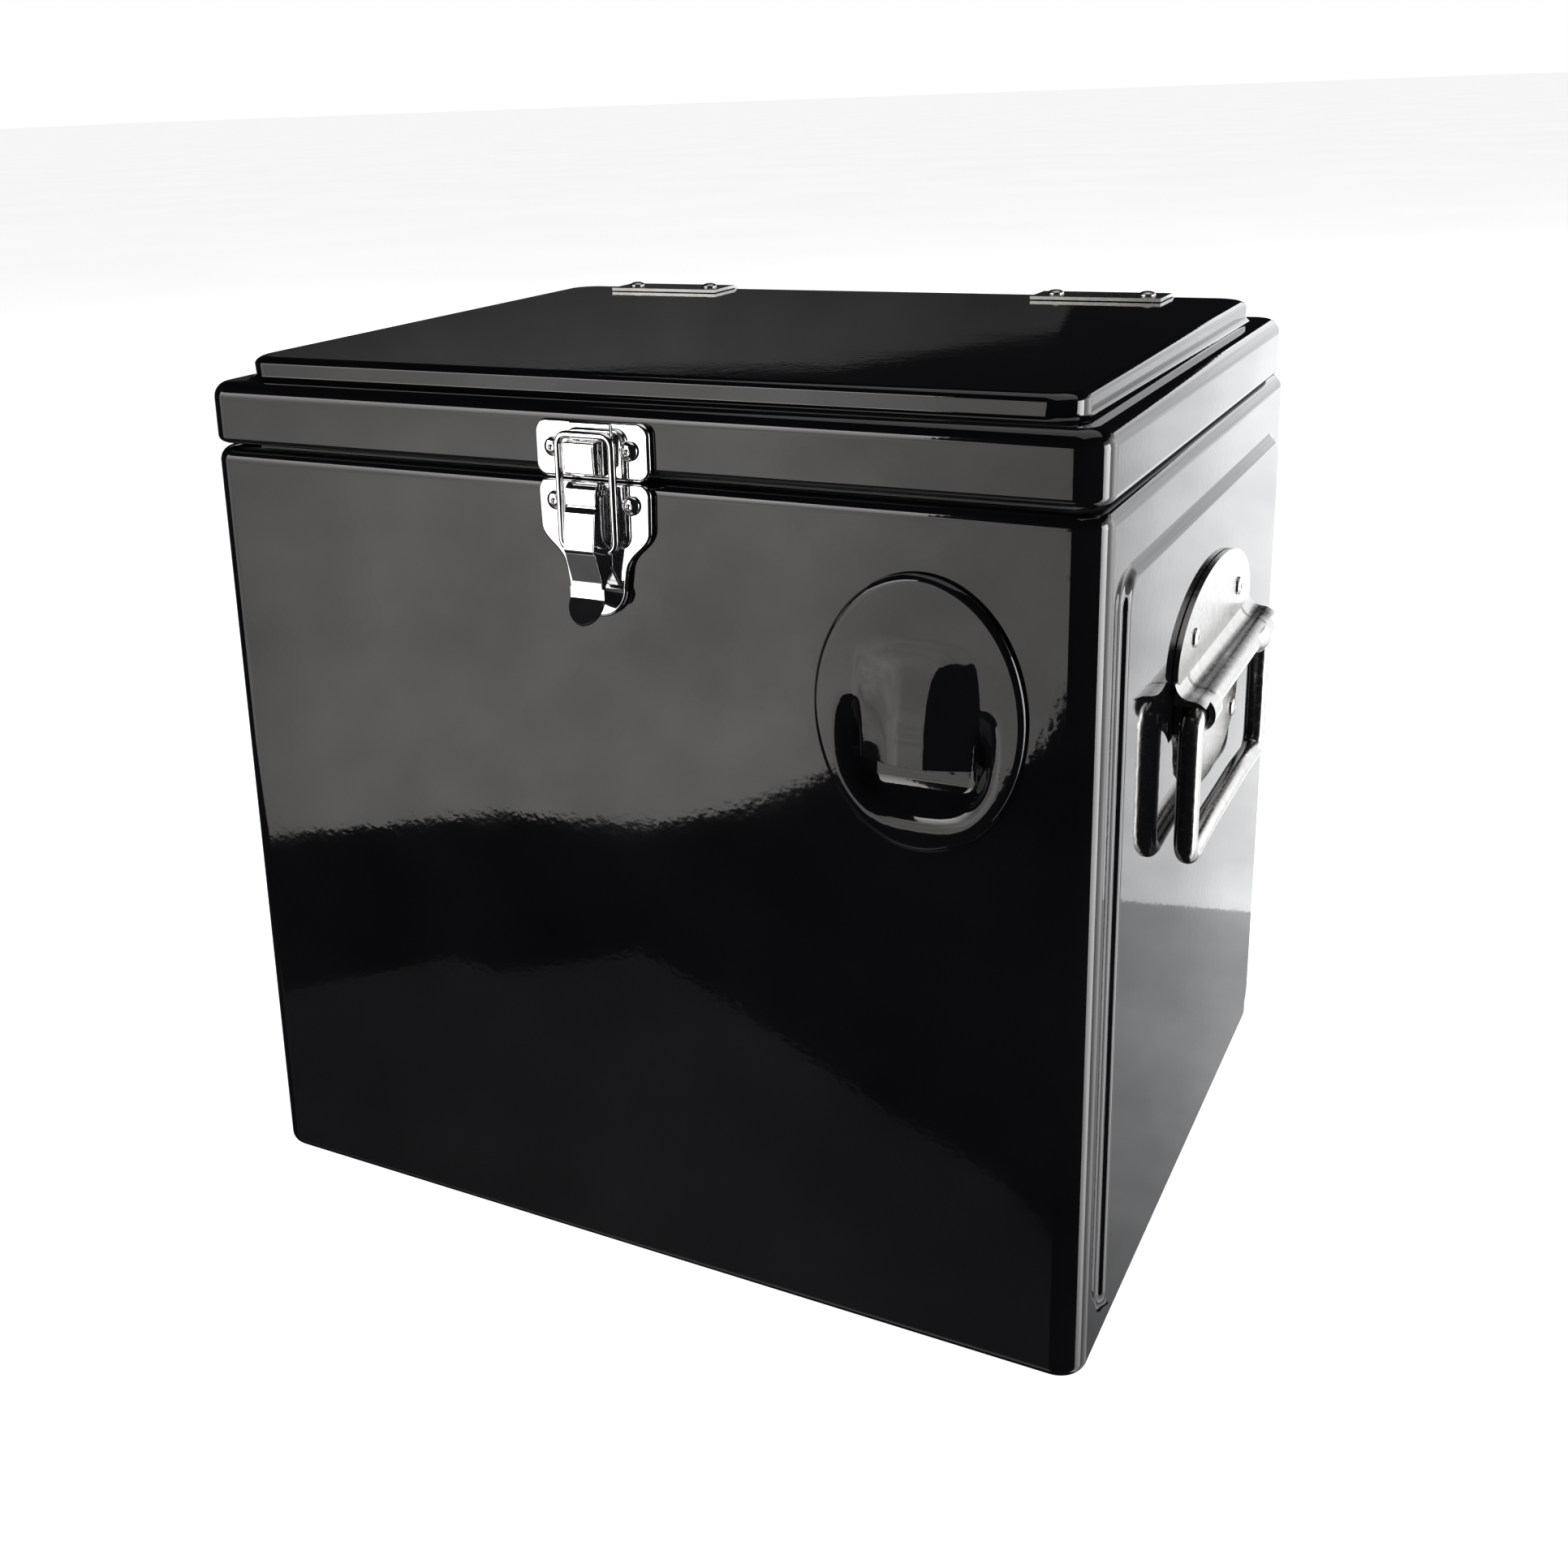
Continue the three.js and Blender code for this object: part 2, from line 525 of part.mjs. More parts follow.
const halfLeaf = HINGE.width / 2;
const halfCentre = CENTRE_KNUCKLE / 2;
const pinBore = (x) => bar([x - halfLeaf - 2, HINGE.pivotY, HINGE.pivotZ],
  [x + halfLeaf + 2, HINGE.pivotY, HINGE.pivotZ], HINGE.bore, 12);

function lidLeaf(x) {
  const { sheet, pivotY, pivotZ, knuckle } = HINGE;
  const [under, over] = [backOutline(GAP), backOutline(GAP + sheet)];
  const outline = polygon([
    ...under,
    [LID_BACK + GAP, pivotZ + 5], [LID_BACK + 2.5, pivotZ + knuckle - sheet],
    [pivotY, pivotZ + knuckle - sheet],
    [pivotY, pivotZ + knuckle], [LID_BACK + 3.2, pivotZ + knuckle + 0.2],
    [LID_BACK + GAP + sheet, pivotZ + 6.2],
    ...over.reverse(),
  ]);
  const strap = extrudeX(outline, x - halfLeaf, x + halfLeaf);
  const notch = box(x - halfCentre - 0.4, x + halfCentre + 0.4, LID_BACK + 2.2, 160, pivotZ - 8, pivotZ + 8);
  const ends = knuckles(x, [[-halfLeaf, -halfCentre - 0.4], [halfCentre + 0.4, halfLeaf]]);
  const leaf = ends.reduce((all, end) => all.add(end), strap).subtract(notch).subtract(pinBore(x));
  return drill(leaf, lidLeafSpots(x));
}

function boxLeaf(x) {
  const { sheet, pivotZ } = HINGE;
  const inner = DEPTH / 2 + GAP;
  const plate = extrudeX(polygon([[inner, HINGE_LEAF_LOW], [inner + sheet, HINGE_LEAF_LOW],
    [inner + sheet, SEAM], [inner, SEAM]]), x - halfLeaf, x + halfLeaf);
  const neck = box(x - halfCentre, x + halfCentre, inner, inner + sheet, SEAM - 1, pivotZ);
  const [middle] = knuckles(x, [[-halfCentre, halfCentre]]);
  return drill(plate.add(neck).add(middle).subtract(pinBore(x)), boxLeafSpots(x));
}

for (const [side, x] of [['left', -HINGE.x], ['right', HINGE.x]]) {
  addPiece(`${side}_hinge_lid_leaf`, lidLeaf(x), nickel);
  addPiece(`${side}_hinge_box_leaf`, boxLeaf(x), nickel);
  addPiece(`${side}_hinge_pin`, bar([x - halfLeaf - 0.8, HINGE.pivotY, HINGE.pivotZ],
    [x + halfLeaf + 0.8, HINGE.pivotY, HINGE.pivotZ], HINGE.pin, 12), nickel);
  lidLeafSpots(x).forEach((at, i) => rivet(`${side}_hinge_lid_rivet_${i + 1}`, at, nickel));
  boxLeafSpots(x).forEach((at, i) => rivet(`${side}_hinge_box_rivet_${i + 1}`, at, nickel));
}

// ---------------------------------------------------------------- latch
const out = (distance) => LATCH_FACE - distance;   // y at a distance in front of the latch plates
const PLATE_BACK = FRONT - GAP;

// The strike has a hook under the bail's top bar, which narrows towards its foot.
function strikePlate() {
  const outline = roundedRectangle(-23.5, 23.5, SEAM - 1.8, SEAM + 19.2, 5);
  const plate = extrudeY(outline, LATCH_FACE, PLATE_BACK, 4);
  const band = box(-8.8, 8.8, out(1), LATCH_FACE + 1, SEAM - 1.3, SEAM + 18.6);
  const hook = extrudeX(polygon([[LATCH_FACE + 1, SEAM - 0.5], [out(2), SEAM - 0.2], [out(8), SEAM + 1.6],
    [out(9.6), SEAM + 11.6], [out(9), SEAM + 13], [LATCH_FACE + 1, SEAM + 13]]), -LEVER_HALF, LEVER_HALF);
  return drill(plate.add(band).add(hook), strikeSpots);
}
addPiece('strike_plate', strikePlate(), chrome);

function latchBase() {
  const top = SEAM - 4.6;
  const low = SEAM - 40.5;         // centre of the rounded lower end
  const outline = new THREE.Shape();
  outline.moveTo(-18.5, top);
  outline.quadraticCurveTo(-23.3, top, -23.3, top - 5);
  outline.lineTo(-23, top - 17);
  outline.bezierCurveTo(-22.5, top - 24, -14.5, top - 25, -13.2, top - 32);
  outline.lineTo(-12.3, low);
  outline.absarc(0, low, 12.3, Math.PI, Math.PI * 2);
  outline.lineTo(13.2, top - 32);
  outline.bezierCurveTo(14.5, top - 25, 22.5, top - 24, 23, top - 17);
  outline.lineTo(23.3, top - 5);
  outline.quadraticCurveTo(23.3, top, 18.5, top);
  const plate = extrudeY(outline, LATCH_FACE, PLATE_BACK, 5);
  const { y, z } = LEVER_PIVOT;
  const ears = [-1, 1].map((side) => {
    const sides = [side * 3.4, side * 4.6].sort((a, b) => a - b);
    const web = extrudeX(polygon([[LATCH_FACE + 1, z - 9], [out(1.5), z - 9], [y - 2.9, z - 2],
      [y - 2.9, z], [LATCH_FACE + 1, z]]), ...sides);
    return web.add(bar([sides[0], y, z], [sides[1], y, z], 3, 12));
  });
  const bore = bar([-6, y, z], [6, y, z], 1.75, 12);
  return drill(ears.reduce((all, ear) => all.add(ear), plate).subtract(bore), baseSpots);
}
addPiece('latch_base', latchBase(), chrome);
addPiece('latch_pin', bar([-LEVER_HALF - 0.9, LEVER_PIVOT.y, LEVER_PIVOT.z],
  [LEVER_HALF + 0.9, LEVER_PIVOT.y, LEVER_PIVOT.z], 1.35, 12), chrome);

// The lever is a folded channel: a stepped front and two side flanges, open at the back.
const LEVER_TIP = SEAM - 52.5;
const LEVER_SHEET = 1.2;
// Front line of the lever below its rounded top: out from the latch plates, and below the seam.
const LEVER_FACETS = [[9.2, 10.5], [9.9, 12], [12.2, 25.5], [11.4, 27], [7.4, 37.5], [7, 42]];
const LEVER_HEEL = 5.9;
const TAB_DROP = 42;
const TAB_HALF = 7;
function leverOutline(skin, back) {
  const { y, z } = LEVER_PIVOT;
  const round = 4.4 - skin;
  const shape = new THREE.Shape();
  shape.moveTo(out(back), z);
  shape.lineTo(y + round, z);
  shape.absarc(y, z, round, 0, Math.PI);
  LEVER_FACETS.forEach(([stand, drop]) => shape.lineTo(out(stand - skin), SEAM - drop));
  shape.lineTo(out(LEVER_HEEL - skin), SEAM - TAB_DROP);
  shape.lineTo(out(back), SEAM - 34);
  return shape;
}

function latchLever() {
  const { y, z } = LEVER_PIVOT;
  const body = extrudeX(leverOutline(0, 0.5), -LEVER_HALF, LEVER_HALF, 8);
  const hollowHalf = LEVER_HALF - LEVER_SHEET;
  const inside = extrudeX(leverOutline(LEVER_SHEET, -3), -hollowHalf, hollowHalf, 8);
  // Open at the top, so that the lever turns past the ears.
  const openTop = box(-hollowHalf, hollowHalf, y - 1.5, y + 8, z - 1, z + 8);
  const tipOutline = new THREE.Shape();
  tipOutline.moveTo(-TAB_HALF, SEAM - 40);
  tipOutline.lineTo(-TAB_HALF, LEVER_TIP + TAB_HALF);
  tipOutline.absarc(0, LEVER_TIP + TAB_HALF, TAB_HALF, Math.PI, Math.PI * 2);
  tipOutline.lineTo(TAB_HALF, SEAM - 40);
  const tab = extrudeX(polygon([[out(5.9), SEAM - 40], [out(7.1), SEAM - 40], [out(7), SEAM - 43.5],
    [out(11.6), LEVER_TIP - 1], [out(10.4), LEVER_TIP - 1], [out(5.8), SEAM - 43.5]]), -8, 8);
  const tip = tab.intersect(extrudeY(tipOutline, out(14), out(1), 6));
  const pinHole = bar([-8, y, z], [8, y, z], 1.75, 12);
  const hole = { y: BAIL_PIVOT.y, z: BAIL_PIVOT.z, half: 8, radius: LATCH_WIRE + 0.35 };
  const bailHole = bar([-hole.half, hole.y, hole.z], [hole.half, hole.y, hole.z], hole.radius, 12);
  return body.subtract(inside).subtract(openTop).add(tip).subtract(pinHole).subtract(bailHole);
}
addPiece('latch_lever', latchLever(), chrome);

function latchBail() {
  const half = 10.9;
  const { y, z } = BAIL_PIVOT;
  const points = [
    [-5.1, y, z], [-half, y, z], [-half, y, BAIL_BAR_Z],
    [half, y, BAIL_BAR_Z], [half, y, z], [5.1, y, z],
  ];
  return wire(points, 4.2, LATCH_WIRE, 44);
}
addPiece('latch_bail', latchBail(), chrome);
['left', 'right'].forEach((side, i) => {
  rivet(`strike_rivet_${side}`, strikeSpots[i], chrome);
  rivet(`latch_base_rivet_${side}`, baseSpots[i], chrome);
});

// ---------------------------------------------------------------- carry handles
// Built for the +X side; the other is its mirror image.
function handleOutline() {
  const shape = new THREE.Shape();
  const z = HANDLE.axisZ;
  shape.moveTo(-58, z + 9);
  shape.lineTo(-58, z - 9);
  shape.bezierCurveTo(-50, z - 12, -48, z - 16, -47, z - 20);
  shape.absellipse(0, z - 20, 47, 24, Math.PI, Math.PI * 2);
  shape.bezierCurveTo(48, z - 16, 50, z - 12, 58, z - 9);
  shape.lineTo(58, z + 9);
  shape.quadraticCurveTo(62, z + 11, 64, z + 15);
  shape.absellipse(0, z + 15, 64, 29, 0, Math.PI);
  shape.quadraticCurveTo(-62, z + 11, -58, z + 9);
  return shape;
}

function bridgeOutline() {
  const { axisX: x, axisZ: z, arch } = HANDLE;
  const root = HANDLE_FACE - 0.5;
  const shape = new THREE.Shape();
  shape.moveTo(root, z - 12);
  shape.quadraticCurveTo(HANDLE_FACE + 1, z - arch - 0.6, x, z - arch);
  shape.absarc(x, z, arch, -Math.PI / 2, Math.PI / 2);
  shape.quadraticCurveTo(HANDLE_FACE + 1, z + arch + 0.6, root, z + 12);
  return shape;
}

function handlePlate() {
  const { axisX: x, axisZ: z, bridgeHalf, roofHalf, bore, wire: wireRadius } = HANDLE;
  const plate = extrudeX(handleOutline(), PANEL_FACE + GAP, HANDLE_FACE, 8);
  const bridge = extrudeY(bridgeOutline(), -bridgeHalf, bridgeHalf, 6);
  const roof = extrudeY(bridgeOutline(), -roofHalf, roofHalf, 6)
    .subtract(box(0, x + 40, -roofHalf - 1, roofHalf + 1, 0, z + wireRadius + 1));
  const channel = bar([x, -roofHalf - 2, z], [x, roofHalf + 2, z], bore, 16);
  return drill(plate.add(bridge).add(roof).subtract(channel), handleSpots(1));
}

function handleBail() {
  const { axisX: x, axisZ: z, halfGrip, drop, wire: radius } = HANDLE;
  const points = [[x, -42, z], [x, -halfGrip, z], [x, -halfGrip, z - drop], [x, halfGrip, z - drop],
    [x, halfGrip, z], [x, 42, z]];
  return wire(points, 7.5, radius, 56);
}

for (const [side, sign] of [['right', 1], ['left', -1]]) {
  const turnOver = (solid) => (sign > 0 ? solid : solid.mirror([1, 0, 0]));
  addPiece(`${side}_handle_plate`, turnOver(handlePlate()), nickel);
  addPiece(`${side}_handle_bail`, turnOver(handleBail()), nickel);
  handleSpots(sign).forEach((at, i) => rivet(`${side}_handle_rivet_${i + 1}`, at, nickel));
}

export default chest;
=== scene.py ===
"""Looks for the insulated steel chest: gloss black sheet, chrome latch, nickel handles and hinges.

Metres, +Z up, the front faces -Y. The CAD frame gives every place. Pieces with a visible curve are
built again here with finer curves and rounded edges, and the others keep their CAD mesh.
"""
import json
import math

import bmesh
import bpy
from mathutils import Matrix, Vector


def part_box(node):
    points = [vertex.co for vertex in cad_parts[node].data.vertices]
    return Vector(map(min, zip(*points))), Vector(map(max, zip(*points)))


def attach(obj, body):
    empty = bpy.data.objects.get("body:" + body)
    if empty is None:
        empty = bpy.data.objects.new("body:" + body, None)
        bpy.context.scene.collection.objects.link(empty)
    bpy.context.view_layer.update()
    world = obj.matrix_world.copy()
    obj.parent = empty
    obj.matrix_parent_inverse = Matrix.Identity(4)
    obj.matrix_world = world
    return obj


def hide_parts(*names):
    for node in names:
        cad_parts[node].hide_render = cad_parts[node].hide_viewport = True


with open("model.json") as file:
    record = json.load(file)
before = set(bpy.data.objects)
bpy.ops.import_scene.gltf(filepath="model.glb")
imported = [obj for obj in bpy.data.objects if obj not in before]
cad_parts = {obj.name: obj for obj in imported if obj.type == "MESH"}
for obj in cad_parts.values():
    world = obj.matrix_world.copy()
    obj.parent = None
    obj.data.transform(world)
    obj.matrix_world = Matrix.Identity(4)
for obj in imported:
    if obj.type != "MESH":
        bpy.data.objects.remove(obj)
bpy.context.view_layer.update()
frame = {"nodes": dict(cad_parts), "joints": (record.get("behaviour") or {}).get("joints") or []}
NODES = frame["nodes"]
JOINTS = {joint["name"]: joint for joint in frame["joints"]}
MM = 0.001

# -------------------- places taken from the frame
SHELL_LOW, SHELL_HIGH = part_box("outer_shell")
LID_LOW, LID_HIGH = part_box("lid_shell")
OPENER_LOW, OPENER_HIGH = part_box("opener_plate")
STRIKE_LOW, STRIKE_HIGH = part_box("strike_plate")
BASE_LOW, BASE_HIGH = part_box("latch_base")

HALF_WIDTH = LID_HIGH.x
FRONT = SHELL_LOW.y
BACK = SHELL_HIGH.y
SHOULDER = SHELL_HIGH.z            # top of the box's turned-in lip
SEAM = LID_LOW.z
PLATEAU = LID_HIGH.z               # the lid's raised top
LEDGE = PLATEAU - 9 * MM           # the lid's flat border
LID_BACK = LID_HIGH.y
PANEL_FACE = SHELL_HIGH.x          # the raised panels on the side walls
GAP = 0.3 * MM                     # air between touching pieces
LATCH_BACK = FRONT - GAP           # back of the latch's two plates
LATCH_FACE = FRONT - 2.9 * MM      # their front
LEVER_PIVOT = Vector(JOINTS["latch_lever"]["pos_m"])
BAIL_PIVOT = Vector(JOINTS["latch_bail"]["pos_m"])
HANDLE_PIVOT = Vector(JOINTS["right_handle"]["pos_m"])
HINGE_PIVOT = Vector(JOINTS["lid_hinge"]["pos_m"])

# -------------------- sizes of pressed detail
SHEET = 1.2 * MM
CORNER = 11 * MM
LEAST_CORNER = 1.5 * MM
BASE_ROLL = 5 * MM
SHOULDER_ROLL = 6 * MM
LIP = 16 * MM
LID_ROLL = 6.5 * MM
SKIRT_ROLL = 3 * MM
STEP_FOOT = 9.3 * MM
STEP_TOP = 16 * MM
STEP_LEAN = 70                     # degrees from level
STEP_CORNER = 12 * MM
STEP_TIGHTENS = 0.1                # how much its corners tighten for each unit of height
FOOT_FILLET = 3.0 * MM
TOP_FILLET = 4.2 * MM
PANEL_HALF = 131 * MM
PANEL_LOW = 12.5 * MM
PANEL_HIGH = 298 * MM
PANEL_RADIUS = 14 * MM
PANEL_SLOPE = 4.5 * MM
LATCH_HALF = 6.2 * MM              # half width of hook and lever


# -------------------- mesh helpers
def arc(centre_u, centre_v, radius_u, radius_v, start, end, steps):
    """Points on an arc in a plane; degrees, 0 along u and 90 along v."""
    angles = [math.radians(start + (end - start) * i / steps) for i in range(steps + 1)]
    return [(centre_u + radius_u * math.cos(a), centre_v + radius_v * math.sin(a)) for a in angles]


def bezier(p0, p1, p2, p3, steps=10):
    """Points on a cubic curve, without its first point."""
    points = []
    for i in range(1, steps + 1):
        t = i / steps
        weights = ((1 - t) ** 3, 3 * t * (1 - t) ** 2, 3 * t * t * (1 - t), t**3)
        points.append(tuple(sum(w * p[k] for w, p in zip(weights, (p0, p1, p2, p3))) for k in (0, 1)))
    return points


def smooth(low, high, value):
    """0 below low, 1 above high, and a soft step between."""
    t = min(max((value - low) / (high - low), 0), 1)
    return t * t * (3 - 2 * t)


def add_object(name, mesh, material, body, replaces=(), crease=35):
    """Links a mesh as a piece of a body, smooth apart from edges sharper than crease degrees."""
    piece = bpy.data.objects.new(name, mesh)
    bpy.context.scene.collection.objects.link(piece)
    mesh.materials.clear()
    mesh.materials.append(material)
    mesh.shade_smooth()
    mesh.set_sharp_from_angle(angle=math.radians(crease))
    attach(piece, body)
    if replaces:
        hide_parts(*replaces)
    return piece


def even_normals(piece):
    """Keeps flat faces flat beside small rolls and bevels."""
    modifier = piece.modifiers.new("even_normals", "WEIGHTED_NORMAL")
    modifier.keep_sharp = True
    modifier.weight = 50
    return piece


def round_edges(piece, width, segments=3, angle=35):
    """Rounds every edge sharper than angle degrees."""
    modifier = piece.modifiers.new("round_edges", "BEVEL")
    modifier.width = width
    modifier.segments = segments
    modifier.limit_method = "ANGLE"
    modifier.angle_limit = math.radians(angle)
    modifier.harden_normals = True
    return piece


def mesh_from(name, vertices, faces):
    """A mesh with its doubled points merged and its faces turned outwards."""
    mesh = bpy.data.meshes.new(name)
    mesh.from_pydata([tuple(v) for v in vertices], [], faces)
    work = bmesh.new()
    work.from_mesh(mesh)
    bmesh.ops.remove_doubles(work, verts=work.verts, dist=1e-7)
    bmesh.ops.recalc_face_normals(work, faces=work.faces)
    work.to_mesh(mesh)
    work.free()
    return mesh


def joined(name, *meshes):
    """One mesh holding copies of several."""
    work = bmesh.new()
    for mesh in meshes:
        work.from_mesh(mesh)
    whole = bpy.data.meshes.new(name)
    work.to_mesh(whole)
    work.free()
    return whole


def turned(mesh, matrix):
    """Moves a mesh, and keeps its faces outwards where the matrix mirrors it."""
    mesh.transform(matrix)
    if matrix.determinant() < 0:
        mesh.flip_normals()
    return mesh


MIRROR_X = Matrix.Diagonal((-1, 1, 1, 1))


def rounded_ring(x0, x1, y0, y1, z, radius, steps=10):
    """A level rectangle of points with round corners."""
    corners = ((x1, y0, -90), (x1, y1, 0), (x0, y1, 90), (x0, y0, 180))
    ring = []
    for x, y, start in corners:
        cx = x - radius if x == x1 else x + radius
        cy = y - radius if y == y1 else y + radius
        ring += [(u, v, z) for u, v in arc(cx, cy, radius, radius, start, start + 90, steps)]
    return ring


def loft(name, rings, wrap=False, cap_first=False, cap_last=False):
    """Skins equal rings one after the other."""
    count = len(rings[0])
    vertices = [v for ring in rings for v in ring]
    faces = []
    rows = len(rings) if wrap else len(rings) - 1
    for row in range(rows):
        low, high = row * count, ((row + 1) % len(rings)) * count
        for i in range(count):
            j = (i + 1) % count
            faces.append((low + i, low + j, high + j, high + i))
    if cap_first:
        faces.append(tuple(reversed(range(count))))
    if cap_last:
        faces.append(tuple(range(len(vertices) - count, len(vertices))))
    return mesh_from(name, vertices, faces)


def prism(name, outline, axis, low, high):
    """Extrudes an outline: (y, z) points along x, or (x, z) points along y."""
    place = {"x": lambda p, d: (d, p[0], p[1]), "y": lambda p, d: (p[0], d, p[1])}[axis]
    rings = [[place(p, low) for p in outline], [place(p, high) for p in outline]]
    return loft(name, rings, cap_first=True, cap_last=True)


def rod(name, start, end, radius, sides=32):
    """A plain round bar between two points."""
    start, end = Vector(start), Vector(end)
    work = bmesh.new()
    bmesh.ops.create_cone(work, cap_ends=True, segments=sides, radius1=radius, radius2=radius,
                          depth=(end - start).length)
    mesh = bpy.data.meshes.new(name)
    work.to_mesh(mesh)
    work.free()
    turn = (end - start).to_track_quat("Z", "Y").to_matrix().to_4x4()
    return turned(mesh, Matrix.Translation((start + end) / 2) @ turn)


def bent_path(corners, radius, steps=8):
    """Straight runs with round bends, as points."""
    corners = [Vector(c) for c in corners]
    path = [corners[0]]
    for before, here, after in zip(corners, corners[1:], corners[2:]):
        start = here + (before - here).normalized() * radius
        end = here + (after - here).normalized() * radius
        for i in range(steps + 1):
            t = i / steps
            path.append(start * (1 - t) ** 2 + here * 2 * t * (1 - t) + end * t * t)
    path.append(corners[-1])
    return path


def tube(name, path, radius, sides=20):
    """A round wire along a flat path, closed with flat ends."""
    flat = None
    for a, b, c in zip(path, path[1:], path[2:]):
        flat = (b - a).cross(c - b)
        if flat.length > 1e-12:
            flat.normalize()
            break
    rings = []
    for i, point in enumerate(path):
        along = (path[min(i + 1, len(path) - 1)] - path[max(i - 1, 0)]).normalized()
        side = flat.cross(along)
        rings.append([point + (flat * math.sin(a) + side * math.cos(a)) * radius
                      for a in (2 * math.pi * k / sides for k in range(sides))])
    return loft(name, rings, cap_first=True, cap_last=True)


def lathe(name, profile, place, sides=28):
    """Turns a (radius, height) profile about place's local Z."""
    rings = []
    for radius, height in profile:
        rings.append([place @ Vector((radius * math.cos(a), radius * math.sin(a), height))
                      for a in (2 * math.pi * k / sides for k in range(sides))])
    return loft(name, rings, cap_first=True, cap_last=True)


# -------------------- material helpers
class Nodes:
    """A small wrapper for building a node tree on one Principled shader."""

    def __init__(self, name):
        self.material = bpy.data.materials.new(name)
        self.material.use_nodes = True
        self.tree = self.material.node_tree
        self.shader = self.tree.nodes["Principled BSDF"]
        self.place = self.add("ShaderNodeTexCoord").outputs["Object"]

    def add(self, kind, **settings):
        node = self.tree.nodes.new(kind)
        for key, value in settings.items():
            if key in node.inputs:
                node.inputs[key].default_value = value
            else:
                setattr(node, key, value)
        return node

    def link(self, source, target):
        self.tree.links.new(source, target)

    def set(self, **values):
        """Sets the shader's own sockets."""
        for key, value in values.items():
            self.shader.inputs[key.replace("_", " ")].default_value = value

    def stretched(self, x, y, z):
        mapping = self.add("ShaderNodeMapping")
        mapping.inputs["Scale"].default_value = (x, y, z)
        self.link(self.place, mapping.inputs["Vector"])
        return mapping.outputs["Vector"]

    def noise(self, size, detail=2.0, roughness=0.5, vector=None):
        """Soft noise with features of about the given size in metres."""
        node = self.add("ShaderNodeTexNoise", Scale=1 / size, Detail=detail, Roughness=roughness)
        self.link(vector or self.place, node.inputs["Vector"])
        return node.outputs["Fac"]

    def cells(self, size, output="Distance"):
        """Cells of about the given size in metres."""
        node = self.add("ShaderNodeTexVoronoi", Scale=1 / size)
        self.link(self.place, node.inputs["Vector"])
        return node.outputs[output]

    def between(self, value, low, high, start=0.3, end=0.7):
        """A number from low to high as the value goes from start to end."""
        node = self.add("ShaderNodeMapRange")
        for key, number in (("From Min", start), ("From Max", end), ("To Min", low), ("To Max", high)):
            node.inputs[key].default_value = number
        self.link(value, node.inputs["Value"])
        return node.outputs["Result"]

    def colour_between(self, value, low, high, start=0.3, end=0.7):
        ramp = self.add("ShaderNodeValToRGB")
        ramp.color_ramp.elements[0].position = start
        ramp.color_ramp.elements[0].color = (*low, 1)
        ramp.color_ramp.elements[1].position = end
        ramp.color_ramp.elements[1].color = (*high, 1)
        self.link(value, ramp.inputs["Fac"])
        return ramp.outputs["Color"]

    def bump(self, height, depth, below=None):
        """Raises the surface by up to depth metres, over an earlier bump if one is given."""
        node = self.add("ShaderNodeBump", Strength=1.0, Distance=depth)
        self.link(height, node.inputs["Height"])
        if below:
            self.link(below, node.inputs["Normal"])
        return node.outputs["Normal"]

    def feed(self, **sources):
        """Links sources to the shader's sockets, and gives the material back."""
        for key, source in sources.items():
            self.link(source, self.shader.inputs[key.replace("_", " ")])
        return self.material


# -------------------- materials
def gloss_black_paint():
    """Stoved enamel: nearly black, clear gloss, orange peel, and the sheet's slow waves under it."""
    m = Nodes("gloss_black_paint")
    m.set(IOR=1.5, Specular_IOR_Level=0.5)
    waves = m.bump(m.noise(90 * MM, 1.0), 0.10 * MM)
    ripples = m.bump(m.noise(14 * MM, 1.0), 0.010 * MM, waves)
    peel = m.bump(m.noise(3.0 * MM, 1.5), 0.010 * MM, ripples)
    tint = m.colour_between(m.noise(60 * MM, 3.0), (0.0020, 0.0021, 0.0028), (0.0034, 0.0035, 0.0044))
    haze = m.between(m.noise(35 * MM, 4.0, 0.6), 0.02, 0.05)
    return m.feed(Base_Color=tint, Roughness=haze, Normal=peel)


def latch_chrome():
    """Bright chrome over pressed steel, with faint rolling waves and fine rubbed lines."""
    m = Nodes("latch_chrome")
    m.set(Metallic=1.0)
    tint = m.colour_between(m.noise(8 * MM), (0.80, 0.80, 0.81), (0.90, 0.90, 0.90))
    rubbed = m.noise(0.5 * MM, 2.0, vector=m.stretched(6.0, 1.0, 0.5))
    gloss = m.between(rubbed, 0.035, 0.08)
    waves = m.bump(m.noise(3 * MM, 1.0), 0.004 * MM)
    return m.feed(Base_Color=tint, Roughness=gloss, Normal=m.bump(rubbed, 0.0004 * MM, waves))


def satin_nickel():
    """Tumbled nickel plate: warm, satin and slightly mottled."""
    m = Nodes("satin_nickel")
    m.set(Metallic=1.0)
    tint = m.colour_between(m.noise(5 * MM, 4.0, 0.6), (0.38, 0.373, 0.36), (0.47, 0.463, 0.448))
    gloss = m.between(m.noise(2 * MM, 3.0), 0.18, 0.28)
    pits = m.bump(m.noise(0.5 * MM, 2.0), 0.0015 * MM, m.bump(m.noise(11 * MM), 0.008 * MM))
    return m.feed(Base_Color=tint, Roughness=gloss, Normal=pits)


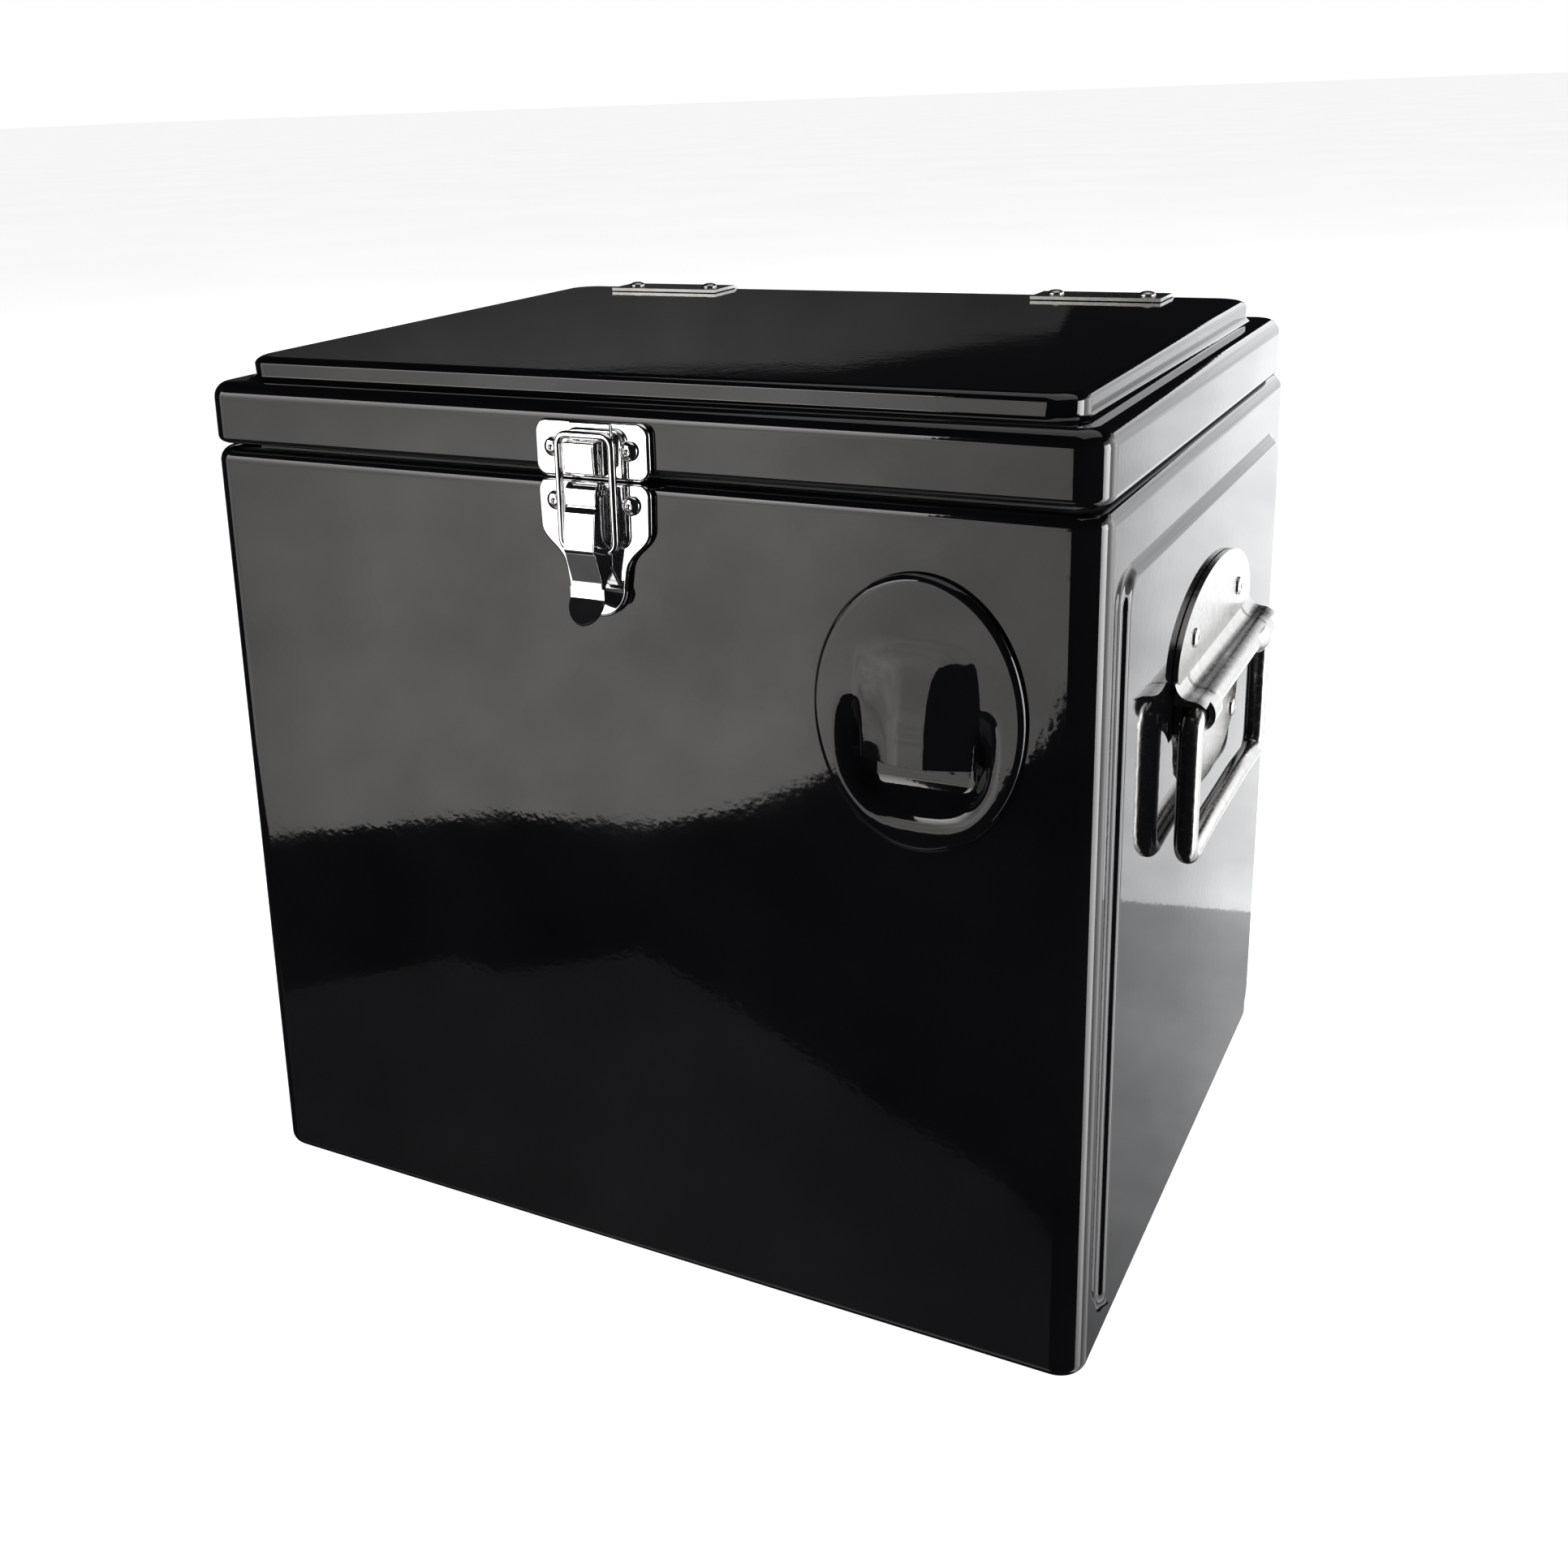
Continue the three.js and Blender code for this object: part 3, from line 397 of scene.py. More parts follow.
def galvanised_steel():
    """Zinc with its crystal spangle."""
    m = Nodes("galvanised_steel")
    m.set(Metallic=1.0)
    spangle = m.cells(9 * MM, output="Color")
    grey = m.add("ShaderNodeSeparateColor")
    m.link(spangle, grey.inputs["Color"])
    tint = m.colour_between(grey.outputs["Red"], (0.36, 0.37, 0.38), (0.52, 0.53, 0.54), 0.0, 1.0)
    gloss = m.between(grey.outputs["Green"], 0.32, 0.5, 0.0, 1.0)
    return m.feed(Base_Color=tint, Roughness=gloss, Normal=m.bump(m.noise(1 * MM, 4.0), 0.01 * MM))


def moulded_white():
    """The tub's white plastic: faint sink marks, a fine grain and a slight warm drift."""
    m = Nodes("moulded_white")
    m.set(IOR=1.46)
    tint = m.colour_between(m.noise(120 * MM, 3.0), (0.78, 0.79, 0.78), (0.86, 0.865, 0.855))
    gloss = m.between(m.noise(20 * MM, 4.0), 0.28, 0.42)
    grain = m.bump(m.noise(0.9 * MM, 3.0), 0.02 * MM, m.bump(m.noise(70 * MM), 0.3 * MM))
    return m.feed(Base_Color=tint, Roughness=gloss, Normal=grain)


def cream_foam():
    """Blown polyurethane with open cells."""
    m = Nodes("cream_foam")
    cell = m.cells(1.8 * MM)
    tint = m.colour_between(cell, (0.62, 0.45, 0.20), (0.82, 0.68, 0.40), 0.0, 0.6)
    m.set(Roughness=0.92)
    return m.feed(Base_Color=tint, Normal=m.bump(cell, 0.4 * MM, m.bump(m.noise(12 * MM), 0.5 * MM)))


def seal_rubber():
    """Extruded black seal with fine lengthwise lines and a bloom of dust."""
    m = Nodes("seal_rubber")
    bloom = m.noise(9 * MM, 4.0, 0.65)
    tint = m.colour_between(bloom, (0.012, 0.012, 0.013), (0.032, 0.032, 0.033))
    gloss = m.between(bloom, 0.55, 0.8)
    lines = m.noise(0.6 * MM, 2.0, vector=m.stretched(0.2, 0.2, 3.0))
    return m.feed(Base_Color=tint, Roughness=gloss, Normal=m.bump(lines, 0.03 * MM))


def pale_floor():
    """A lit studio sweep, close to white."""
    m = Nodes("pale_floor")
    tint = m.colour_between(m.noise(0.6, 3.0), (0.90, 0.90, 0.90), (0.93, 0.93, 0.93))
    m.set(Roughness=0.9, Specular_IOR_Level=0.1, Emission_Strength=1.0)
    return m.feed(Base_Color=tint, Emission_Color=tint)


PAINT = gloss_black_paint()
CHROME = latch_chrome()
NICKEL = satin_nickel()
ZINC = galvanised_steel()
WHITE = moulded_white()
FOAM = cream_foam()
RUBBER = seal_rubber()


# -------------------- box
def wall_profile(skin):
    """(inset, height) from the turned-in foot up to the turned-in shoulder, for one skin of the sheet."""
    foot = [(LIP, skin)]
    roll = BASE_ROLL - skin
    foot += [(BASE_ROLL - u, BASE_ROLL + v) for u, v in arc(0, 0, roll, roll, -90, 0, 8)]
    roll = SHOULDER_ROLL - skin
    centre = SHOULDER - SHOULDER_ROLL
    return foot + [(SHOULDER_ROLL - u, centre + v) for u, v in arc(0, 0, roll, roll, 0, 90, 10)] + [
        (LIP, SHOULDER - skin)]


def box_ring(inset, height):
    return rounded_ring(-HALF_WIDTH + inset, HALF_WIDTH - inset, FRONT + inset, BACK - inset, height,
                        max(CORNER - inset, LEAST_CORNER), 12)


def side_panel():
    """The raised panel pressed in the right wall, as a closed pad with soft feet."""
    steps = 12
    sunk = 0.5 * MM
    rings = []
    for i in range(steps + 1):
        inset = PANEL_SLOPE * i / steps
        rise = (PANEL_FACE - HALF_WIDTH) * smooth(0, 1, i / steps)
        ring = rounded_ring(PANEL_LOW + inset, PANEL_HIGH - inset, -PANEL_HALF + inset, PANEL_HALF - inset,
                            HALF_WIDTH + rise, PANEL_RADIUS - inset, 10)
        rings.append([(x, y, z) for z, y, x in ring])
    under = [(x - sunk, y, z) for x, y, z in rings[0]]
    return loft("side_panel", [under, *rings], cap_first=True, cap_last=True)


OPENER_MIDDLE = (OPENER_LOW + OPENER_HIGH) / 2
OPENER_HALF = (OPENER_HIGH - OPENER_LOW) / 2
OPENER_SEAT = 4 * MM               # how far the opener's rim overlaps the wall round its hole


def opener_cutter():
    """The oval hole in the front wall, as a solid through the sheet."""
    outline = arc(OPENER_MIDDLE.x, OPENER_MIDDLE.z, OPENER_HALF.x - OPENER_SEAT, OPENER_HALF.z - OPENER_SEAT,
                  0, 360, 96)[:-1]
    return prism("opener_cutter", outline, "y", FRONT - 5 * MM, FRONT + 8 * MM)


def cut_away(mesh, cutter_mesh):
    """The mesh less the cutter, as a new mesh."""
    scene = bpy.context.scene.collection
    body = bpy.data.objects.new("cut_body", mesh)
    cutter = bpy.data.objects.new("cut_tool", cutter_mesh)
    for helper in (body, cutter):
        scene.objects.link(helper)
    modifier = body.modifiers.new("cut", "BOOLEAN")
    modifier.object = cutter
    modifier.solver = "EXACT"
    graph = bpy.context.evaluated_depsgraph_get()
    result = bpy.data.meshes.new_from_object(body.evaluated_get(graph))
    for helper in (body, cutter):
        bpy.data.objects.remove(helper)
    return result


def box_shell():
    """The painted body: thin walls with the opener's hole, and a raised panel on each side."""
    outside = [box_ring(*level) for level in wall_profile(0)]
    inside = [box_ring(*level) for level in reversed(wall_profile(SHEET))]
    walls = loft("box_walls", outside + inside, wrap=True)
    walls = cut_away(walls, opener_cutter())
    right = side_panel()
    left = turned(side_panel(), MIRROR_X)
    piece = add_object("box_shell", joined("box_shell", walls, right, left), PAINT, "box", ["outer_shell"])
    return even_normals(piece)


# -------------------- bottle opener
OPENER_RISE = 1.7 * MM             # of the oval's flat face
OPENER_LIP = -16.2 * MM            # below the oval's middle
HOOD_RISE = 5.2 * MM
RECESS_DEPTH = 8 * MM              # of the bowl below the lip and the flanks beside it
# Where each shape begins and ends: across from the middle line, up or down from the lip, and in
# from the rim as a share of the oval's radius.
FACE_RIM = (0, 0.04)
HOOD_ACROSS = (4 * MM, 25 * MM)
HOOD_UP = (6 * MM, 44 * MM)
RECESS_ACROSS = (17 * MM, 30 * MM)
RECESS_RIM = (0.1, 0.28)
BOWL_DOWN = (7 * MM, 25 * MM)
FLANK_UP = (0, 22 * MM)
LIP_ACROSS = (18.5 * MM, 22.5 * MM)
# Rings of the mesh, as shares of the oval's radius: fine ones in the band by the rim.
RIM_START, RIM_BAND = 0.92, 0.08
WIDE_RINGS, FINE_RINGS = 40, 12
OPENER_SPOKES = 144


def opener_height(x, z):
    """How far the pressing stands out at (x, z) from the oval's middle: (hood side, bowl side)."""
    rim = 1 - math.hypot(x / OPENER_HALF.x, z / OPENER_HALF.z)
    face = OPENER_RISE * smooth(*FACE_RIM, rim)
    above = max(z - OPENER_LIP, 0)
    below = max(OPENER_LIP - z, 0)
    across = abs(x)
    hood = HOOD_RISE * (1 - smooth(*HOOD_ACROSS, across)) * (1 - smooth(*HOOD_UP, above))
    recess = RECESS_DEPTH * (1 - smooth(*RECESS_ACROSS, across)) * smooth(*RECESS_RIM, rim)
    bowl = face - recess * (1 - smooth(*BOWL_DOWN, below))
    flank = face - recess * (1 - smooth(*FLANK_UP, above))
    lip = 1 - smooth(*LIP_ACROSS, across)
    return lip * (face + hood) + (1 - lip) * flank, bowl


def opener_half(side):
    """The pressing above the lip (side 0) or below it (side 1), as a surface clipped at the lip."""
    reaches = [i / WIDE_RINGS * RIM_START for i in range(WIDE_RINGS + 1)]
    reaches += [RIM_START + RIM_BAND * i / FINE_RINGS for i in range(1, FINE_RINGS + 1)]
    work = bmesh.new()
    rows = []
    for reach in reaches:
        row = []
        for u, w in arc(0, 0, OPENER_HALF.x * reach, OPENER_HALF.z * reach, 0, 360, OPENER_SPOKES)[:-1]:
            row.append(work.verts.new((u, -opener_height(u, w)[side], w)))
        rows.append(row)
    for inner, outer in zip(rows, rows[1:]):
        for i in range(len(inner)):
            j = (i + 1) % len(inner)
            work.faces.new((inner[i], inner[j], outer[j], outer[i]))
    bmesh.ops.remove_doubles(work, verts=work.verts, dist=1e-6)
    keep_above = side == 0
    bmesh.ops.bisect_plane(work, geom=work.verts[:] + work.edges[:] + work.faces[:], dist=1e-6,
                           plane_co=(0, 0, OPENER_LIP), plane_no=(0, 0, 1),
                           clear_inner=keep_above, clear_outer=not keep_above)
    mesh = bpy.data.meshes.new("opener_half")
    work.to_mesh(mesh)
    work.free()
    return mesh


def bottle_opener():
    """One pressed oval: its two halves meet beside the lip and stand apart along it."""
    stand = 0.4 * MM
    touching = 0.02 * MM
    both = joined("opener_face", opener_half(0), opener_half(1))
    work = bmesh.new()
    work.from_mesh(both)
    bmesh.ops.remove_doubles(work, verts=work.verts, dist=touching)
    work.to_mesh(both)
    work.free()
    turned(both, Matrix.Translation((OPENER_MIDDLE.x, FRONT - stand, OPENER_MIDDLE.z)))
    piece = add_object("opener_face", both, PAINT, "box", ["opener_plate"], crease=60)
    thick = piece.modifiers.new("sheet", "SOLIDIFY")
    thick.thickness = 1.3 * MM
    thick.offset = -1
    round_edges(piece, 0.4 * MM, 3, 60)


# -------------------- lid
def lid_profile():
    """(inset, height) from under the skirt up to the plateau."""
    skirt = [(SKIRT_ROLL - u, SEAM + SKIRT_ROLL + v)
             for u, v in arc(0, 0, SKIRT_ROLL, SKIRT_ROLL, -80, 0, 8)]
    roll = [(LID_ROLL - u, LEDGE - LID_ROLL + v) for u, v in arc(0, 0, LID_ROLL, LID_ROLL, 0, 90, 12)]
    foot = [(STEP_FOOT + v, LEDGE + FOOT_FILLET - u)
            for u, v in arc(0, 0, FOOT_FILLET, FOOT_FILLET, 0, STEP_LEAN, 6)]
    top = [(STEP_TOP - v, PLATEAU - TOP_FILLET + u)
           for u, v in arc(0, 0, TOP_FILLET, TOP_FILLET, STEP_LEAN, 0, 8)]
    return skirt + roll + foot + top


def lid_ring(inset, height):
    """One level of the lid; the raised step has corners of its own, a little tighter at its top."""
    radius = max(CORNER - inset, LEAST_CORNER)
    if height > LEDGE + 0.01 * MM or inset >= STEP_FOOT:
        radius = STEP_CORNER - max(height - LEDGE, 0) * STEP_TIGHTENS
    return rounded_ring(-HALF_WIDTH + inset, HALF_WIDTH - inset, FRONT + inset, LID_BACK - inset,
                        height, radius, 12)


def lid_shell():
    """The painted lid, with the sheet's inner face under it."""
    outside = [lid_ring(*level) for level in lid_profile()]
    inner_levels = [(SKIRT_ROLL + SHEET, SEAM + 0.1 * MM), (SHEET, SEAM + SKIRT_ROLL),
                    (SHEET, LEDGE - LID_ROLL), (LID_ROLL, LEDGE - SHEET),
                    (STEP_FOOT + SHEET, LEDGE - SHEET), (STEP_TOP + SHEET, PLATEAU - SHEET)]
    inside = [lid_ring(*level) for level in inner_levels]
    mesh = loft("lid_skin", list(reversed(inside)) + outside, cap_first=True, cap_last=True)
    return even_normals(add_object("lid_skin", mesh, PAINT, "lid", ["lid_shell"]))


# -------------------- rivets
RIVET_HEAD = 3.7 * MM              # radius
RIVET_RIM = 0.35 * MM              # height of the rim under the dome
RIVET_PROUD = 2.0 * MM             # how far the CAD's heads stand off the metal they hold


def rivet(name, node, body, outward, material, crown):
    """A domed tubular rivet where the CAD has its plain one: a low rim, a dome and a dimple."""
    low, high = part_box(node)
    outward = Vector(outward)
    base = (low + high) / 2
    for k in range(3):
        if abs(outward[k]) > 0.5:
            base[k] = (high[k] if outward[k] > 0 else low[k]) - outward[k] * RIVET_PROUD
    turn = outward.to_track_quat("Z", "Y").to_matrix().to_4x4()
    dome = [(RIVET_HEAD * math.cos(a), RIVET_RIM + (crown - RIVET_RIM) * math.sin(a))
            for a in (math.radians(d) for d in (0, 12, 25, 38, 50, 60, 68))]
    dimple = [(1.15 * MM, crown - 0.12 * MM), (1.0 * MM, crown - 0.35 * MM),
              (0.85 * MM, crown - 1.1 * MM), (0.3 * MM, crown - 1.35 * MM)]
    profile = [(RIVET_HEAD * 0.9, -0.05 * MM), (RIVET_HEAD, 0.1 * MM), *dome, *dimple]
    mesh = lathe(name, profile, Matrix.Translation(base) @ turn)
    add_object(name, mesh, material, body, [node], crease=50)


def all_rivets():
    """Two in each hinge leaf, four in each handle plate, and two in each plate of the latch."""
    up, rearward, forward = (0, 0, 1), (0, 1, 0), (0, -1, 0)
    for side, outward in (("left", (-1, 0, 0)), ("right", (1, 0, 0))):
        for i in (1, 2):
            rivet(f"{side}_lid_leaf_rivet_{i}", f"{side}_hinge_lid_rivet_{i}", "lid", up, NICKEL, 2.0 * MM)
            rivet(f"{side}_box_leaf_rivet_{i}", f"{side}_hinge_box_rivet_{i}", "box", rearward, NICKEL,
                  1.6 * MM)
        for i in (1, 2, 3, 4):
            rivet(f"{side}_grip_rivet_{i}", f"{side}_handle_rivet_{i}", "box", outward, NICKEL, 1.5 * MM)
        rivet(f"{side}_strike_rivet", f"strike_rivet_{side}", "lid", forward, CHROME, 2.4 * MM)
        rivet(f"{side}_base_rivet", f"latch_base_rivet_{side}", "box", forward, CHROME, 2.4 * MM)


# -------------------- latch
PAN_ROLL = 1.7 * MM                # rolled edge of both plates
BAND_HALF = 8.8 * MM               # the strike's raised band
BAND_INSET = 0.6 * MM
# The strike's hook from the side: out from the plates and above the seam, in millimetres.
HOOK = ((-1, -0.5), (2, -0.2), (8.8, 1.6), (9.6, 11.6), (9, 13), (-1, 13))
# The lever's front line: out from the plates and below the seam, in millimetres.
LEVER_FACETS = ((9.2, 9.6), (8.5, 10.0), (10.2, 12.2), (12.2, 25.2), (11.2, 26.6), (7.4, 37.5), (7, 42))
LEVER_SHEET = 1.2                  # millimetres
LEVER_NOSE = 4.4                   # radius over the pin, millimetres
LEVER_NOSE_START = 112             # degrees; open behind, so that the lever turns past the ears
NOSE_STEPS = 12
BASE_FOOT = 12.3 * MM              # radius of the base's round lower end
TAB_HALF = 7 * MM
BAIL_WIRE = 1.5 * MM
BAIL_HALF = 10.9 * MM
BAIL_TIP = 5.1 * MM                # where the wire's two ends stop inside the lever


def out(distance):
    """y at a distance in millimetres in front of the latch's two plates."""
    return LATCH_FACE - distance * MM


def strike():
    """The upper plate: a pan with rolled edges, a raised band and the hook that the wire pulls on."""
    x0, x1 = STRIKE_LOW.x, STRIKE_HIGH.x
    z0, z1 = STRIKE_LOW.z, STRIKE_HIGH.z
    outline = [(x, z) for x, z, _ in rounded_ring(x0, x1, z0, z1, 0, 5 * MM, 8)]
    plate = add_object("strike_pan", prism("strike_pan", outline, "y", LATCH_FACE, LATCH_BACK),
                       CHROME, "lid", ["strike_plate"])
    even_normals(round_edges(plate, PAN_ROLL, 6))
    band = [(-BAND_HALF, z0 + BAND_INSET), (BAND_HALF, z0 + BAND_INSET),
            (BAND_HALF, z1 - BAND_INSET), (-BAND_HALF, z1 - BAND_INSET)]
    raised = add_object("strike_band", prism("strike_band", band, "y", out(0.9), out(-0.5)), CHROME, "lid")
    even_normals(round_edges(raised, 0.6 * MM, 3))
    side = [(out(distance), SEAM + rise * MM) for distance, rise in HOOK]
    hook = add_object("strike_hook", prism("strike_hook", side, "x", -LATCH_HALF, LATCH_HALF), CHROME, "lid")
    even_normals(round_edges(hook, 0.55 * MM, 3, 15))


def base_outline():
    """(x, z) round the lower plate: square shoulders that draw in to a round foot."""
    top = BASE_HIGH.z
    low_centre = BASE_LOW.z + BASE_FOOT
    right = [(18.5 * MM, top)]
    right += bezier(right[0], (21.7 * MM, top), (23.3 * MM, top - 1.7 * MM), (23.3 * MM, top - 5 * MM), 6)
    right += [(23 * MM, top - 17 * MM)]
    right += bezier(right[-1], (22.5 * MM, top - 24 * MM), (14.5 * MM, top - 25 * MM),
                    (13.2 * MM, top - 32 * MM), 14)
    right += arc(0, low_centre, BASE_FOOT, BASE_FOOT, 0, -90, 14)
    left = [(-x, z) for x, z in reversed(right[:-1])]
    return right + left


def latch_base():
    """The lower plate, its two ears, and the pin that the lever turns on."""
    plate = add_object("latch_pan", prism("latch_pan", base_outline(), "y", LATCH_FACE, LATCH_BACK),
                       CHROME, "box", ["latch_base"])
    even_normals(round_edges(plate, PAN_ROLL, 6))
    y, z = LEVER_PIVOT.y, LEVER_PIVOT.z
    ear_radius, ear_inner, ear_outer = 2.9 * MM, 3.4 * MM, 4.6 * MM
    for side, name in ((-1, "latch_ear_left"), (1, "latch_ear_right")):
        web = arc(y, z, ear_radius, ear_radius, 180, 0, 12)
        web += [(out(-0.5), z + 1 * MM), (out(-0.5), z - 9 * MM), (out(1.5), z - 9 * MM)]
        low, high = sorted((side * ear_inner, side * ear_outer))
        ear = add_object(name, prism(name, web, "x", low, high), CHROME, "box")
        even_normals(round_edges(ear, 0.25 * MM, 2))
    end = LATCH_HALF + 0.9 * MM
    pin = rod("lever_pin", (-end, y, z), (end, y, z), 1.35 * MM)
    even_normals(round_edges(add_object("lever_pin", pin, CHROME, "box", ["latch_pin"]), 0.4 * MM, 3))


def lever_section(skin):
    """The folded lever's front line from its rounded top to the foot of its last facet."""
    y, z = LEVER_PIVOT.y, LEVER_PIVOT.z
    radius = (LEVER_NOSE - skin) * MM
    nose = arc(y, z, radius, radius, LEVER_NOSE_START, 180, NOSE_STEPS)
    return nose + [(out(distance - skin), SEAM - drop * MM) for distance, drop in LEVER_FACETS]


def latch_lever():
    """A folded channel with facets, two side walls, and a rounded tab that kicks out."""
    outer = lever_section(0)
    inner = lever_section(LEVER_SHEET)
    cover = prism("lever_cover", outer + list(reversed(inner)), "x", -LATCH_HALF, LATCH_HALF)
    y, z = LEVER_PIVOT.y, LEVER_PIVOT.z
    flank_inset = 0.2 * MM
    flank_nose = 4.2 * MM
    flank = arc(y, z, flank_nose, flank_nose, 0, 180, 14)
    flank += [(u + flank_inset, w) for u, w in outer[NOSE_STEPS + 1:]]
    flank += [(out(5.9), SEAM - 42 * MM), (out(0.6), SEAM - 34 * MM), (out(0.6), z)]
    wall = LEVER_SHEET * MM
    walls = [prism("lever_wall", flank, "x", low, low + wall) for low in (-LATCH_HALF, LATCH_HALF - wall)]
    lever = add_object("lever_channel", joined("lever_channel", cover, *walls), CHROME, "latch_lever",
                       ["latch_lever"])
    even_normals(round_edges(lever, 0.35 * MM, 3, 8))
    lever_tab()


def lever_tab():
    """The thumb tab: a tongue with a round end, bent outwards towards its tip."""
    top, tip = SEAM - 40 * MM, SEAM - 52.5 * MM
    root_stand, kick, kick_start = 6.6, 5.6, 0.3       # out from the plates and outwards, millimetres
    dish = 0.25                                        # millimetres, from its middle to its edges
    shares = (-1, -0.6, -0.2, 0.2, 0.6, 1)             # across its half width
    steps = 24
    rows = []
    for i in range(steps + 1):
        drop = i / steps
        z = top + (tip - top) * drop
        below = max(tip + TAB_HALF - z, 0)
        half = math.sqrt(max(TAB_HALF**2 - below**2, 1e-9))
        stand = root_stand + kick * max(drop - kick_start, 0) / (1 - kick_start)
        rows.append([(x * half, out(stand + dish * x * x), z) for x in shares])
    vertices = [v for row in rows for v in row]
    wide = len(shares)
    faces = [(r * wide + i, r * wide + i + 1, (r + 1) * wide + i + 1, (r + 1) * wide + i)
             for r in range(steps) for i in range(wide - 1)]
    tab = add_object("lever_tab", mesh_from("lever_tab", vertices, faces), CHROME, "latch_lever", crease=80)
    thick = tab.modifiers.new("sheet", "SOLIDIFY")
    thick.thickness = 1.1 * MM
    thick.offset = 0
    round_edges(tab, 0.4 * MM, 3, 60)


def latch_bail():
    """The wire loop, from one end inside the lever over the hook and back to the other."""
    y, z = BAIL_PIVOT.y, BAIL_PIVOT.z
    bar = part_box("latch_bail")[1].z - BAIL_WIRE
    corners = [(-BAIL_TIP, y, z), (-BAIL_HALF, y, z), (-BAIL_HALF, y, bar),
               (BAIL_HALF, y, bar), (BAIL_HALF, y, z), (BAIL_TIP, y, z)]
    path = bent_path(corners, 4.2 * MM, 10)
    add_object("bail_wire", tube("bail_wire", path, BAIL_WIRE, 20), CHROME, "latch_bail", ["latch_bail"])


# -------------------- hinges
HINGE_X = 108 * MM                 # from the middle line to each hinge
LEAF_SHEET = 1.5 * MM
KNUCKLE = 4 * MM                   # radius
CENTRE_KNUCKLE = 10.5 * MM         # half length
KNUCKLE_AIR = 0.4 * MM             # between the centre knuckle and the two beside it
HINGE_PIN = 1.8 * MM


def offset_outline(points, distance):
    """Stands an open line of points off by a mitred distance to its left."""
    normals = []
    for (u0, v0), (u1, v1) in zip(points, points[1:]):
        length = math.hypot(u1 - u0, v1 - v0)
        normals.append(((v0 - v1) / length, (u1 - u0) / length))
    moved = []
    for i, (u, v) in enumerate(points):
        before, after = normals[max(i - 1, 0)], normals[min(i, len(normals) - 1)]
        nu, nv = before[0] + after[0], before[1] + after[1]
        scale = distance * 2 / (nu * nu + nv * nv)
        moved.append((u + nu * scale, v + nv * scale))
    return moved


def lid_back_line(leaf_front):
    """(y, z) over the lid's rear edge from the plateau down to the skirt."""
    upper = [(inset, z) for inset, z in lid_profile() if z > LEDGE - LID_ROLL - 1 * MM]
    return [(leaf_front, PLATEAU)] + [(LID_BACK - inset, z) for inset, z in reversed(upper)]


def lid_leaf(side, x, half):
    """The upper leaf: bent over the lid's rear edge, with a knuckle at each end."""
    node = f"{side}_hinge_lid_leaf"
    y, z = HINGE_PIVOT.y, HINGE_PIVOT.z
    line = lid_back_line(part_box(node)[0].y)
    under, over = offset_outline(line, GAP), offset_outline(line, GAP + LEAF_SHEET)
    drop = [(LID_BACK + GAP, z + 5 * MM), (LID_BACK + 2.5 * MM, z + KNUCKLE - LEAF_SHEET),
            (y, z + KNUCKLE - LEAF_SHEET)]
    rise = [(y, z + KNUCKLE), (LID_BACK + 3.2 * MM, z + KNUCKLE + 0.2 * MM),
            (LID_BACK + GAP + LEAF_SHEET, z + 6.2 * MM)]
    strap = prism("strap", under + drop + rise + list(reversed(over)), "x", x - half, x + half)
    near, far, notch_half = LID_BACK + 2.2 * MM, y + 9 * MM, 8 * MM
    room = CENTRE_KNUCKLE + KNUCKLE_AIR
    notch = prism("notch", [(near, z - notch_half), (far, z - notch_half), (far, z + notch_half),
                            (near, z + notch_half)], "x", x - room, x + room)
    barrels = [rod("barrel", (x + a, y, z), (x + b, y, z), KNUCKLE)
               for a, b in ((-half, -room), (room, half))]
    leaf = add_object(f"{side}_lid_leaf", joined("leaf", cut_away(strap, notch), *barrels), NICKEL, "lid",
                      [node])
    even_normals(round_edges(leaf, 0.3 * MM, 2, 40))


def box_leaf(side, x, half):
    """The lower leaf: a flat plate on the back wall, with the centre knuckle."""
    node = f"{side}_hinge_box_leaf"
    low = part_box(node)[0]
    y, z = HINGE_PIVOT.y, HINGE_PIVOT.z
    inner, outer = BACK + GAP, BACK + GAP + LEAF_SHEET
    outline = [(u, w) for u, w, _ in rounded_ring(x - half, x + half, low.z, SEAM, 0, 3 * MM, 6)]
    plate = prism("plate", outline, "y", inner, outer)
    root = SEAM - 1 * MM
    neck = prism("neck", [(inner, root), (outer, root), (outer, z), (inner, z)], "x",
                 x - CENTRE_KNUCKLE, x + CENTRE_KNUCKLE)
    barrel = rod("barrel", (x - CENTRE_KNUCKLE, y, z), (x + CENTRE_KNUCKLE, y, z), KNUCKLE)
    leaf = add_object(f"{side}_box_leaf", joined("leaf", plate, neck, barrel), NICKEL, "box", [node])
    even_normals(round_edges(leaf, 0.3 * MM, 2, 40))


def hinge(side, x):
    """Both leaves of one hinge, and the pin through their knuckles."""
    low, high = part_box(f"{side}_hinge_lid_leaf")
    half = (high.x - low.x) / 2
    lid_leaf(side, x, half)
    box_leaf(side, x, half)
    y, z = HINGE_PIVOT.y, HINGE_PIVOT.z
    end = half + 0.8 * MM
    pin = add_object(f"{side}_pin", rod("pin", (x - end, y, z), (x + end, y, z), HINGE_PIN), NICKEL, "box",
                     [f"{side}_hinge_pin"])
    even_normals(round_edges(pin, 0.5 * MM, 3))


